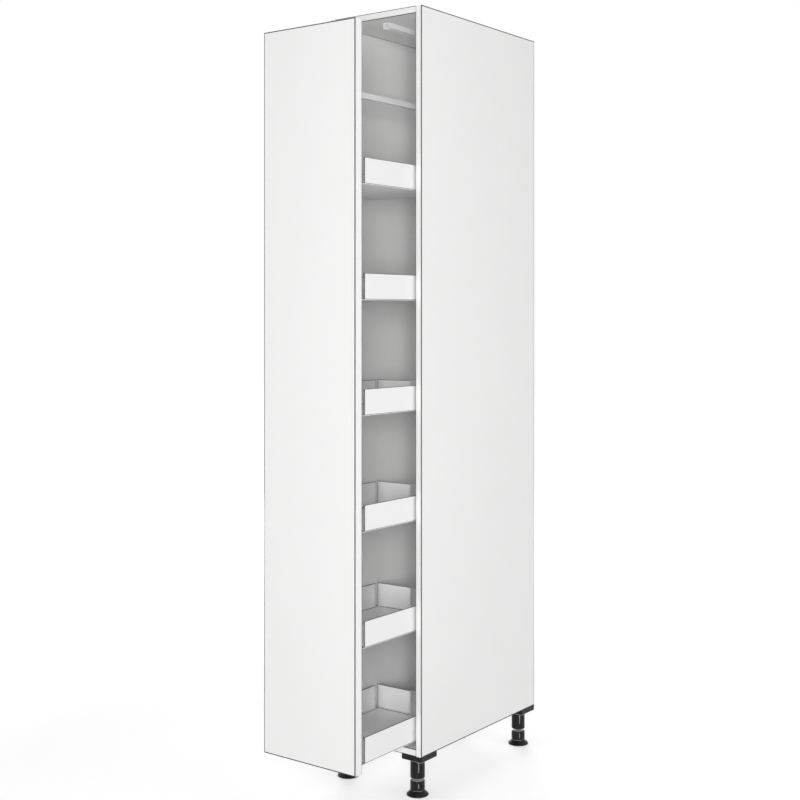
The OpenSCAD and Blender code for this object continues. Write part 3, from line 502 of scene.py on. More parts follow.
@dataclass(frozen=True)
class Board(Finish):
    """White melamine board: laminated faces, the laminate's dark core round its edges, chipboard inside."""

    node: str = ""
    broad: Axis = Axis.X
    raw_side: Axis | None = None
    seam_colour: Colour = (0.035, 0.035, 0.035)
    seam_from_edge: float = 1.35 * MM
    seam_half: float = 1.15 * MM
    core_line: float = 1.6 * MM
    specular: float = 0.35
    skin: float = 0.6 * MM
    raw_edge: float = 0.2 * MM
    raw_roughness: float = 0.85
    chip_dark: Colour = (0.42, 0.29, 0.17)
    chip_light: Colour = (0.72, 0.57, 0.39)
    chips: float = 380.0
    crumbs: float = 760.0
    crumb_depth: float = 0.4 * MM

    def depths(self, sheet: ShaderSheet) -> list[Socket]:
        """Measures how deep a point lies.

        Args:
            sheet: the material's nodes.

        Returns:
            The depth under the nearer face along each axis.
        """
        low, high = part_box(self.node)
        found = []
        for axis, place in enumerate(sheet.axes()):
            above = sheet.math("SUBTRACT", place, low[axis])
            below = sheet.math("SUBTRACT", high[axis], place)
            found.append(sheet.math("MINIMUM", above, below))
        return found

    def raw(self, sheet: ShaderSheet, depths: list[Socket]) -> Socket:
        """Finds where the chipboard shows.

        Args:
            sheet: the material's nodes.
            depths: the depth under the nearer face along each axis.

        Returns:
            1 in bores and grooves, and on an edge without a band, or else 0.
        """
        least = sheet.math("MINIMUM", sheet.math("MINIMUM", depths[0], depths[1]), depths[2])
        inside = sheet.math("GREATER_THAN", least, self.skin)
        if self.raw_side is None:
            return inside
        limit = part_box(self.node)[1][self.raw_side.value] - self.raw_edge
        past = sheet.math("GREATER_THAN", sheet.axes()[self.raw_side.value], limit)
        return sheet.math("MAXIMUM", inside, past)

    def dark_lines(self, sheet: ShaderSheet, depths: list[Socket]) -> Socket:
        """Finds where the laminate's dark core shows.

        Args:
            sheet: the material's nodes.
            depths: the depth under the nearer face along each axis.

        Returns:
            1 on the seams along a face's edges and on the core lines round the board, or else 0.
        """
        under_face = depths[self.broad.value]
        around = [depths[axis.value] for axis in Axis if axis is not self.broad]
        beside = [sheet.math("COMPARE", depth, self.seam_from_edge, self.seam_half) for depth in around]
        on_face = sheet.math("LESS_THAN", under_face, self.skin / 2)
        seams = sheet.math("MULTIPLY", on_face, sheet.math("MAXIMUM", *beside))
        on_edge = sheet.math("LESS_THAN", sheet.math("MINIMUM", *around), self.skin / 2)
        core = sheet.math("MULTIPLY", on_edge, sheet.math("LESS_THAN", under_face, self.core_line))
        return sheet.math("MAXIMUM", seams, core)

    def lay(self, sheet: ShaderSheet) -> None:
        """Lays laminate, seams and chipboard.

        Args:
            sheet: the material's nodes.
        """
        depths = self.depths(sheet)
        raw = self.raw(sheet, depths)
        faces = sheet.mix(self.dark_lines(sheet, depths), self.tone(sheet), self.seam_colour)
        chips = sheet.mix(sheet.cells(self.chips), self.chip_dark, self.chip_light)
        crumbs = sheet.math("MULTIPLY", raw, sheet.noise(self.crumbs, detail=4.0))
        rough = sheet.math("MAXIMUM", self.gloss(sheet), sheet.math("MULTIPLY", raw, self.raw_roughness))
        sheet.set(Base_Color=sheet.mix(raw, faces, chips), Roughness=rough)
        sheet.set(Normal=sheet.relief(crumbs, self.crumb_depth, self.surface(sheet)))
        sheet.set(Specular_IOR_Level=self.specular)


class Palette:
    """Every finish of the unit, each made once."""

    WHITE: Colour = (0.89, 0.89, 0.885)
    WHITE_ROUGHNESS = 0.55
    WHITE_SPREAD = 0.012
    COAT: Colour = (0.87, 0.87, 0.868)
    COAT_ROUGHNESS = 0.38

    def __init__(self) -> None:
        """Makes the finishes that more than one piece shares."""
        self.coat = PowderCoat("white_powder_coat", self.COAT, self.COAT_ROUGHNESS).build()
        self.zinc = PlatedSteel("zinc_plate", (0.74, 0.75, 0.77), roughness=0.3).build()
        self.balls = PlatedSteel("polished_ball", (0.82, 0.83, 0.85), roughness=0.12, spangle=90.0).build()
        self.black = LegMoulding(
            "black_moulding", (0.006, 0.006, 0.0065), roughness=0.3, tone_spread=0.12,
            grain=1500.0, grain_depth=0.008 * MM, specular=0.22).build()
        self.grey = Finish(
            "grey_moulding", (0.42, 0.43, 0.45), roughness=0.42, tone_spread=0.05,
            grain=1300.0, grain_depth=0.012 * MM).build()
        self.rubber = Finish(
            "buffer_rubber", (0.03, 0.03, 0.031), roughness=0.8, tone_spread=0.15,
            grain=1100.0, grain_depth=0.05 * MM).build()
        self.beech = Beech(
            "beech", (0.66, 0.46, 0.27), roughness=0.62, grain=700.0, grain_depth=0.04 * MM).build()

    def edged(self, node: str, across: Axis) -> bpy.types.Material:
        """Makes the coat of one folded sheet, fitted to its own edges."""
        return EdgedCoat("coat_" + node, self.COAT, self.COAT_ROUGHNESS, node=node, across=across).build()

    def board(self, node: str, broad: Axis, raw_side: Axis | None) -> bpy.types.Material:
        """Makes the laminate of one board, fitted to its own edges."""
        return Board("laminate_" + node, self.WHITE, self.WHITE_ROUGHNESS, self.WHITE_SPREAD,
                     node=node, broad=broad, raw_side=raw_side).build()


def dress(material: bpy.types.Material, *nodes: str) -> None:
    """Gives CAD nodes their finish.

    Args:
        material: the finish.
        nodes: the names of the nodes that get it.
    """
    for name in nodes:
        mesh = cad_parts[name].data
        mesh.materials.clear()
        mesh.materials.append(material)
        LOG.info("%s dressed in %s", name, material.name)


# ---- Meshes ----


@dataclass(frozen=True)
class Solid:
    """One separate solid of a CAD node, as its corner points."""

    points: np.ndarray

    @property
    def low(self) -> Vector:
        """Lowest corner."""
        return Vector(self.points.min(0))

    @property
    def high(self) -> Vector:
        """Highest corner."""
        return Vector(self.points.max(0))

    @property
    def centre(self) -> Vector:
        """Middle of the solid's box."""
        return (self.low + self.high) / 2

    @property
    def axis(self) -> int:
        """The axis along which the solid is longest."""
        size = self.high - self.low
        return max(range(3), key=lambda index: size[index])

    def from_axis(self) -> np.ndarray:
        """Distance of every point from the long axis."""
        across = [index for index in range(3) if index != self.axis]
        return np.linalg.norm(self.points[:, across] - np.array(self.centre)[across], axis=1)

    def width_at(self, height: float) -> float:
        """Largest distance from the long axis among the points at one height along it."""
        level = abs(self.points[:, self.axis] - height) < SAME_LEVEL
        return float(self.from_axis()[level].max())

    def wide_stretch(self, radius: float) -> tuple[float, float]:
        """Where along the long axis the points lie further out than a radius."""
        along = self.points[self.from_axis() > radius][:, self.axis]
        return float(along.min()), float(along.max())


def solids_of(node: str) -> list[Solid]:
    """Finds the separate solids of a CAD node.

    Args:
        node: the node's name.

    Returns:
        The solids, in order of their lowest corners.
    """
    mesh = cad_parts[node].data
    points = np.array([vertex.co for vertex in mesh.vertices]).reshape(-1, 3)
    spots, index = np.unique(np.round(points, SAME_POINT_DECIMALS), axis=0, return_inverse=True)
    parent = list(range(len(spots)))

    def root(item: int) -> int:
        """Follows the links of a spot up to the one that stands for its solid.

        Args:
            item: the spot's number.

        Returns:
            The number of the spot that stands for the solid.
        """
        while parent[item] != item:
            parent[item] = parent[parent[item]]
            item = parent[item]
        return item

    index = index.ravel()
    for polygon in mesh.polygons:
        first, *others = [root(int(index[vertex])) for vertex in polygon.vertices]
        for other in others:
            parent[root(other)] = root(first)
    roots = np.array([root(item) for item in range(len(spots))])
    found = [Solid(spots[roots == one]) for one in np.unique(roots)]
    return sorted(found, key=lambda solid: tuple(round(value, ORDER_DECIMALS) for value in solid.low))


def smooth(mesh: bpy.types.Mesh) -> bpy.types.Mesh:
    """Shades a mesh smooth and keeps its sharp edges.

    Args:
        mesh: the mesh.

    Returns:
        The same mesh.
    """
    mesh.shade_smooth()
    mesh.set_sharp_from_angle(angle=SHARP_EDGE)
    return mesh


def revolve(name: str, outline: Outline, segments: int, shape: Shape | None = None) -> bpy.types.Mesh:
    """Turns an outline round Z into a closed mesh.

    Args:
        name: the mesh's name.
        outline: points of (radius, height), from a pole at one end to a pole at the other.
        segments: steps round the axis.
        shape: gives a point's radius from its outline radius, its height and its angle.

    Returns:
        The mesh, with faces pointing outwards.
    """
    vertices = [(0.0, 0.0, outline[0][1])]
    rings = outline[1:-1]
    for radius, height in rings:
        for step in range(segments):
            angle = math.tau * step / segments
            reach = shape(radius, height, angle) if shape else radius
            vertices.append((reach * math.cos(angle), reach * math.sin(angle), height))
    vertices.append((0.0, 0.0, outline[-1][1]))
    last = len(vertices) - 1
    faces: list[tuple[int, ...]] = []
    for step in range(segments):
        after = (step + 1) % segments
        faces.append((0, 1 + after, 1 + step))
        for ring in range(len(rings) - 1):
            low, high = 1 + ring * segments, 1 + (ring + 1) * segments
            faces.append((low + step, low + after, high + after, high + step))
        top = last - segments
        faces.append((top + step, top + after, last))
    mesh = bpy.data.meshes.new(name)
    mesh.from_pydata(vertices, [], faces)
    if outline[0][1] > outline[-1][1]:
        mesh.flip_normals()
    return smooth(mesh)


def loose_object(name: str, mesh: bpy.types.Mesh) -> bpy.types.Object:
    """Makes an object of a mesh and puts it in the scene.

    Args:
        name: the object's name.
        mesh: its mesh.

    Returns:
        The object.
    """
    made = bpy.data.objects.new(name, mesh)
    bpy.context.scene.collection.objects.link(made)
    return made


def frozen(obj: bpy.types.Object, name: str) -> bpy.types.Mesh:
    """Turns an object with its modifiers into a plain mesh and removes the object.

    Args:
        obj: the object to evaluate.
        name: the new mesh's name.

    Returns:
        The plain mesh.
    """
    graph = bpy.context.evaluated_depsgraph_get()
    mesh = bpy.data.meshes.new_from_object(obj.evaluated_get(graph), depsgraph=graph)
    mesh.name = name
    bpy.data.objects.remove(obj)
    return mesh


def piece(name: str, meshes: Sequence[bpy.types.Mesh], material: bpy.types.Material, body: str,
          slot: str, *replaced: str) -> bpy.types.Object:
    """Joins meshes into one finished piece that rides on a body.

    Args:
        name: the piece's name.
        meshes: its meshes, in place.
        material: its finish.
        body: the body that it rides on.
        slot: the record's material slot; not used.
        replaced: the CAD nodes that it stands for.

    Returns:
        The piece.
    """
    vertices: list[tuple[float, ...]] = []
    faces: list[tuple[int, ...]] = []
    for mesh in meshes:
        start = len(vertices)
        vertices += [tuple(vertex.co) for vertex in mesh.vertices]
        faces += [tuple(start + index for index in polygon.vertices) for polygon in mesh.polygons]
    joined = bpy.data.meshes.new(name)
    joined.from_pydata(vertices, [], faces)
    joined.materials.append(material)
    made = loose_object(name, smooth(joined))
    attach(made, body)
    if replaced:
        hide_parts(*replaced)
    LOG.info("%s: %d faces, rides on %s", name, len(faces), body)
    return made


# ---- Repeats by Geometry Nodes ----


class GrowthTree:
    """A geometry node tree with named inputs, ending in real geometry with its material."""

    def __init__(self, name: str, **inputs: tuple[str, object]) -> None:
        """Starts the tree.

        Args:
            name: the tree's name.
            inputs: each input's socket type, without its NodeSocket prefix, and its default.
        """
        self.tree = bpy.data.node_groups.new(name, "GeometryNodeTree")
        face = self.tree.interface
        face.new_socket("Geometry", in_out="INPUT", socket_type="NodeSocketGeometry")
        for label, (kind, default) in {**inputs, "Finish": ("Material", None)}.items():
            made = face.new_socket(label, in_out="INPUT", socket_type="NodeSocket" + kind)
            if default is not None:
                made.default_value = default
        face.new_socket("Geometry", in_out="OUTPUT", socket_type="NodeSocketGeometry")
        self.given = self.node("NodeGroupInput", own=False)

    def node(self, kind: str, own: bool = True, **settings: object) -> bpy.types.Node:
        """Adds a node and sets its properties.

        Args:
            kind: the node's type.
            own: True for a geometry node, whose GeometryNode prefix is added.
            settings: the properties to set on it.

        Returns:
            The new node.
        """
        made = self.tree.nodes.new(("GeometryNode" if own else "") + kind)
        for key, value in settings.items():
            setattr(made, key, value)
        return made

    def link(self, output: Socket, socket: Socket) -> None:
        """Links an output to an input."""
        self.tree.links.new(output, socket)

    def attribute(self, name: str, kind: str) -> Socket:
        """Reads a named attribute of the points.

        Args:
            name: the attribute's name.
            kind: its data type.

        Returns:
            The attribute.
        """
        made = self.node("InputNamedAttribute", data_type=kind)
        made.inputs["Name"].default_value = name
        return made.outputs[0]

    def end(self, instances: Socket) -> None:
        """Realizes the instances, gives them the finish and closes the tree.

        Args:
            instances: what the tree has made.
        """
        real = self.node("RealizeInstances")
        painted = self.node("SetMaterial")
        out = self.node("NodeGroupOutput", own=False)
        self.link(instances, real.inputs[0])
        self.link(real.outputs[0], painted.inputs["Geometry"])
        self.link(self.given.outputs["Finish"], painted.inputs["Material"])
        self.link(painted.outputs[0], out.inputs[0])

    def grow(self, name: str, seedbed: bpy.types.Mesh, **inputs: object) -> bpy.types.Mesh:
        """Runs the tree on a mesh.

        Args:
            name: the name of the mesh that it gives.
            seedbed: the points or lines that it works on.
            inputs: values of the tree's named inputs.

        Returns:
            A plain mesh.
        """
        holder = loose_object(name + "_seedbed", seedbed)
        modifier = holder.modifiers.new("growth", "NODES")
        modifier.node_group = self.tree
        for item in self.tree.interface.items_tree:
            if item.in_out == "INPUT" and item.name in inputs:
                modifier[item.identifier] = inputs[item.name]
        return frozen(holder, name)


@dataclass(frozen=True)
class Site:
    """Where a copy stands, the way its Z points, and how far it is stretched along it."""

    at: Vector
    aim: Vector
    stretch: float = 1.0


class Copies(GrowthTree):
    """Sets one shape at many places, each with its own direction and length."""

    def __init__(self) -> None:
        """Builds the tree: points, the shape turned to their aim, real geometry."""
        super().__init__("copies", Shape=("Object", None))
        shape = self.node("ObjectInfo")
        self.link(self.given.outputs["Shape"], shape.inputs["Object"])
        turn = self.node("FunctionNodeAlignRotationToVector", own=False, axis="Z")
        self.link(self.attribute("aim", "FLOAT_VECTOR"), turn.inputs["Vector"])
        size = self.node("ShaderNodeCombineXYZ", own=False)
        size.inputs["X"].default_value = 1.0
        size.inputs["Y"].default_value = 1.0
        self.link(self.attribute("stretch", "FLOAT"), size.inputs["Z"])
        copies = self.node("InstanceOnPoints")
        self.link(self.given.outputs["Geometry"], copies.inputs["Points"])
        self.link(shape.outputs["Geometry"], copies.inputs["Instance"])
        self.link(turn.outputs[0], copies.inputs["Rotation"])
        self.link(size.outputs[0], copies.inputs["Scale"])
        self.end(copies.outputs[0])

    def set_out(self, name: str, shape: bpy.types.Mesh, sites: Sequence[Site],
                material: bpy.types.Material) -> bpy.types.Mesh:
        """Sets the shape at each site.

        Args:
            name: the name of the mesh that it gives.
            shape: the shape to repeat, with its foot at the origin.
            sites: the places.
            material: the finish.

        Returns:
            A plain mesh of all the copies.
        """
        seedbed = bpy.data.meshes.new(name + "_sites")
        seedbed.from_pydata([tuple(site.at) for site in sites], [], [])
        aim = seedbed.attributes.new("aim", "FLOAT_VECTOR", "POINT")
        aim.data.foreach_set("vector", [value for site in sites for value in site.aim])
        stretch = seedbed.attributes.new("stretch", "FLOAT", "POINT")
        stretch.data.foreach_set("value", [site.stretch for site in sites])
        template = loose_object(name + "_shape", shape)
        mesh = self.grow(name, seedbed, Shape=template, Finish=material)
        bpy.data.objects.remove(template)
        return mesh


class BallRows(GrowthTree):
    """Puts a smooth ball of a given radius on every point."""

    def __init__(self) -> None:
        """Builds the tree: points, balls on them, real geometry."""
        super().__init__("ball_rows", Radius=("Float", 3 * MM), Fineness=("Int", 3))
        ball = self.node("MeshIcoSphere")
        self.link(self.given.outputs["Radius"], ball.inputs["Radius"])
        self.link(self.given.outputs["Fineness"], ball.inputs["Subdivisions"])
        rows = self.node("InstanceOnPoints")
        self.link(self.given.outputs["Geometry"], rows.inputs["Points"])
        self.link(ball.outputs["Mesh"], rows.inputs["Instance"])
        self.end(rows.outputs[0])


class WeldRows(GrowthTree):
    """Sets flat weld marks at an even pitch along lines."""

    def __init__(self) -> None:
        """Builds the tree: lines, evenly spaced points, low domes, real geometry."""
        super().__init__("weld_rows", Pitch=("Float", 58 * MM), Radius=("Float", 2.4 * MM),
                         Height=("Float", 0.25 * MM))
        line = self.node("MeshToCurve")
        spaced = self.node("ResampleCurve", mode="LENGTH")
        self.link(self.given.outputs["Geometry"], line.inputs[0])
        self.link(line.outputs[0], spaced.inputs["Curve"])
        self.link(self.given.outputs["Pitch"], spaced.inputs["Length"])
        dome = self.node("MeshUVSphere")
        for label, value in (("Segments", 20), ("Rings", 10), ("Radius", 1.0)):
            dome.inputs[label].default_value = value
        size = self.node("ShaderNodeCombineXYZ", own=False)
        for label, side in (("Radius", "X"), ("Radius", "Y"), ("Height", "Z")):
            self.link(self.given.outputs[label], size.inputs[side])
        marks = self.node("InstanceOnPoints")
        self.link(spaced.outputs[0], marks.inputs["Points"])
        self.link(dome.outputs["Mesh"], marks.inputs["Instance"])
        self.link(size.outputs[0], marks.inputs["Scale"])
        self.end(marks.outputs[0])


# ---- Fasteners ----


def thread(crest: float, root: float, pitch: float, low: float, high: float) -> Shape:
    """Makes a screw thread's shape.

    Args:
        crest: radius over the thread.
        root: radius between its turns.
        pitch: rise of one turn.
        low: height where the thread starts.
        high: height where it ends.

    Returns:
        A function from outline radius, height and angle to the radius there.
    """
    def cut(radius: float, height: float, angle: float) -> float:
        """Lowers the radius between the turns.

        Args:
            radius: the outline's radius.
            height: the height along the screw.
            angle: the angle round it.

        Returns:
            The radius there.
        """
        if not low < height < high or radius < root:
            return radius
        turn = (height / pitch - angle / math.tau) % 1.0
        return crest - (crest - root) * abs(2 * turn - 1)
    return cut


def steps(start: float, end: float, count: int) -> list[float]:
    """Even steps from start to end, both included."""
    return [start + (end - start) * step / count for step in range(count + 1)]


@dataclass(frozen=True)
class CountersunkScrew:
    """A countersunk wood screw with a cross recess, pointing along Z from its head's face."""

    head_r: float = 4 * MM
    head_h: float = 2 * MM
    rim: float = 0.15 * MM
    face_share: float = 0.55
    shank_r: float = 2 * MM
    length: float = 14 * MM
    tip: float = 2 * MM
    tip_share: float = 0.2
    pitch: float = 1.5 * MM
    root_share: float = 0.78
    runout: float = 0.5 * MM
    recess: float = 4.4 * MM
    recess_w: float = 1.0 * MM
    recess_h: float = 1.5 * MM
    recess_taper: float = 0.62
    overcut: float = 0.5 * MM
    segments: int = 24
    turn_steps: int = 6

    def mesh(self, name: str) -> bpy.types.Mesh:
        """Makes the screw and cuts its recess.

        Args:
            name: the mesh's name.

        Returns:
            The mesh.
        """
        low, high = self.head_h + self.runout, self.length - self.tip
        count = round((high - low) / self.pitch * self.turn_steps)
        outline = [(0, 0), (self.head_r * self.face_share, 0), (self.head_r - self.rim, 0),
                   (self.head_r, self.rim), (self.shank_r, self.head_h)]
        outline += [(self.shank_r, height) for height in steps(low, high, count)]
        outline += [(self.shank_r * self.tip_share, self.length), (0, self.length)]
        spiral = thread(self.shank_r, self.shank_r * self.root_share, self.pitch, low, high)
        screw = loose_object(name, revolve(name, outline, self.segments, spiral))
        cutters = self.cutters()
        for cutter in cutters:
            cut = screw.modifiers.new("recess", "BOOLEAN")
            cut.object = cutter
            cut.solver = "EXACT"
        mesh = frozen(screw, name)
        for cutter in cutters:
            bpy.data.objects.remove(cutter)
        return mesh

    def cutters(self) -> list[bpy.types.Object]:
        """Makes two crossed bars that narrow towards their tips.

        Returns:
            The bars, which are in the scene.
        """
        half_l, half_w = self.recess / 2, self.recess_w / 2
        levels = ((-self.overcut, 1.0), (self.recess_h, self.recess_taper))
        square = ((-1, -1), (1, -1), (1, 1), (-1, 1))
        corners = [(x * share * half_l, y * share * half_w, z) for z, share in levels for x, y in square]
        sides = [(side, (side + 1) % 4, 4 + (side + 1) % 4, 4 + side) for side in range(4)]
        bars = []
        for turn in (0, math.pi / 2):
            cosine, sine = math.cos(turn), math.sin(turn)
            turned = [(x * cosine - y * sine, x * sine + y * cosine, z) for x, y, z in corners]
            mesh = bpy.data.meshes.new("recess_bit")
            mesh.from_pydata(turned, [], [(3, 2, 1, 0), (4, 5, 6, 7), *sides])
            bars.append(loose_object("recess_bit", mesh))
        return bars


@dataclass(frozen=True)
class HexBolt:
    """A hex head, a nut and a shank, each with its bearing face at the origin."""

    shank_r: float = 2.5 * MM
    shank_share: float = 0.97
    corner_r: float = 4.5 * MM
    head_h: float = 3 * MM
    face_share: float = 0.98
    head_washer: float = 0.2 * MM
    head_chamfer: float = 0.72
    dome_share: float = 0.6
    dome_rise: tuple[float, float] = (0.25, 0.3)
    nut_washer: float = 0.25 * MM
    nut_chamfer: float = 0.75
    mouth_w: float = 0.4 * MM
    mouth_h: float = 0.2 * MM
    end_share: float = 0.98
    end_h: float = 0.6 * MM
    tip_share: float = 0.8
    crown: float = 0.9 * MM
    segments: int = 48

    # The angle from the middle of a flat to a corner.
    HALF_SIDE = math.pi / 6

    @property
    def flat(self) -> float:
        """Distance from the axis to a flat of the hexagon."""
        return self.corner_r * math.cos(self.HALF_SIDE)

    def hexagon(self, radius: float, height: float, angle: float) -> float:
        """Gives the radius of a hexagon whose corners are no further out than the outline.

        Args:
            radius: the outline's radius.
            height: the height, which changes nothing here.
            angle: the angle round the axis.

        Returns:
            The radius there.
        """
        if radius <= self.shank_r:
            return radius
        from_flat = (angle + self.HALF_SIDE) % (2 * self.HALF_SIDE) - self.HALF_SIDE
        return min(radius, self.flat / math.cos(from_flat))

    def prism(self, washer: float, chamfer: float) -> list[tuple[float, float]]:
        """Outline of a hexagon from its washer face to its chamfered top."""
        return [(0, 0), (self.flat, 0), (self.corner_r, washer), (self.corner_r, self.head_h * chamfer),
                (self.flat * self.face_share, self.head_h)]

    def head(self, name: str) -> bpy.types.Mesh:
        """The head: washer face, hexagon, chamfer and a shallow dome.

        Args:
            name: the mesh's name.

        Returns:
            The mesh.
        """
        shoulder, peak = [self.head_h + self.crown * rise for rise in self.dome_rise]
        outline = self.prism(self.head_washer, self.head_chamfer)
        outline += [(self.flat * self.dome_share, shoulder), (0, peak)]
        return revolve(name, outline, self.segments, self.hexagon)

    def nut(self, name: str) -> bpy.types.Mesh:
        """The nut with the bolt's end standing out of it.

        Args:
            name: the mesh's name.

        Returns:
            The mesh.
        """
        end_r, top = self.shank_r * self.end_share, self.head_h + self.crown
        outline = self.prism(self.nut_washer, self.nut_chamfer)
        outline += [(self.shank_r + self.mouth_w, self.head_h), (end_r, self.head_h - self.mouth_h)]
        outline += [(end_r, self.head_h + self.end_h), (self.shank_r * self.tip_share, top), (0, top)]
        return revolve(name, outline, self.segments, self.hexagon)

    def shank(self, name: str) -> bpy.types.Mesh:
        """A shank one unit long, stretched to each bolt's grip."""
        radius = self.shank_r * self.shank_share
        return revolve(name, [(0, 0), (radius, 0), (radius, 1), (0, 1)], self.segments // 2)


@dataclass
class Fasteners:
    """Every screw and bolt that shows."""

    palette: Palette
    copies: Copies
    screw: CountersunkScrew = CountersunkScrew()
    spigot_screw: CountersunkScrew = CountersunkScrew(
        head_r=5 * MM, head_h=2.5 * MM, shank_r=2.5 * MM, length=9 * MM, tip=0.6 * MM, pitch=0.8 * MM,
        recess=5 * MM, recess_w=1.2 * MM, recess_h=1.8 * MM)
    bolt: HexBolt = HexBolt()
    shank_play: float = 0.5 * MM

    def screw_sites(self, node: str) -> list[Site]:
        """Finds each screw's head face and direction from its solid.

        Args:
            node: the node of plain screws.

        Returns:
            A site for each screw.
        """
        sites = []
        for solid in solids_of(node):
            ends = (solid.low[solid.axis], solid.high[solid.axis])
            head_low = solid.width_at(ends[0]) > solid.width_at(ends[1])
            at, aim = solid.centre, Vector((0, 0, 0))
            at[solid.axis] = ends[0] if head_low else ends[1]
            aim[solid.axis] = 1 if head_low else -1
            sites.append(Site(at, aim))
        return sites

    def screws(self, node: str, body: Body, shape: CountersunkScrew) -> None:
        """Replaces a node of plain screws by cut and threaded ones."""
        made = self.copies.set_out(node, shape.mesh(node + "_one"), self.screw_sites(node), self.palette.zinc)
        piece(node + "_cut", [made], self.palette.zinc, body.value, Slot.ZINC.value, node)

    def bolts(self, node: str) -> None:
        """Replaces the frame's plain bolts by heads, nuts and shanks.

        The bolts of the beam lie along Y, with their heads towards the middle of the unit. The
        others lie along X, with their heads on the left.

        Args:
            node: the node of plain bolts.
        """
        heads, nuts, shanks = [], [], []
        for solid in solids_of(node):
            low, high = solid.wide_stretch(self.bolt.shank_r + self.shank_play)
            down, up = Vector((0, 0, 0)), Vector((0, 0, 0))
            down[solid.axis], up[solid.axis] = -1, 1
            first, last = solid.centre, solid.centre
            first[solid.axis], last[solid.axis] = low + self.bolt.head_h, high - self.bolt.head_h
            head_low = solid.axis != Axis.Y.value or solid.centre.y > 0
            heads.append(Site(first, down) if head_low else Site(last, up))
            nuts.append(Site(last, up) if head_low else Site(first, down))
            shanks.append(Site(first, up, (last - first).length))
        sets = (("heads", self.bolt.head, heads), ("nuts", self.bolt.nut, nuts),
                ("shanks", self.bolt.shank, shanks))
        made = [self.copies.set_out(name, shape(name + "_one"), sites, self.palette.zinc)
                for name, shape, sites in sets]
        piece(node + "_hex", made, self.palette.zinc, Body.PULL_OUT.value, Slot.ZINC.value, node)

    def build(self) -> None:
        """Makes them all."""
        self.screws("wood_screws", Body.CABINET, self.screw)
        self.screws("panel_screws", Body.PULL_OUT, self.screw)
        self.screws("spigot_screws", Body.PULL_OUT, self.spigot_screw)
        self.bolts("frame_bolts")


# ---- Legs ----


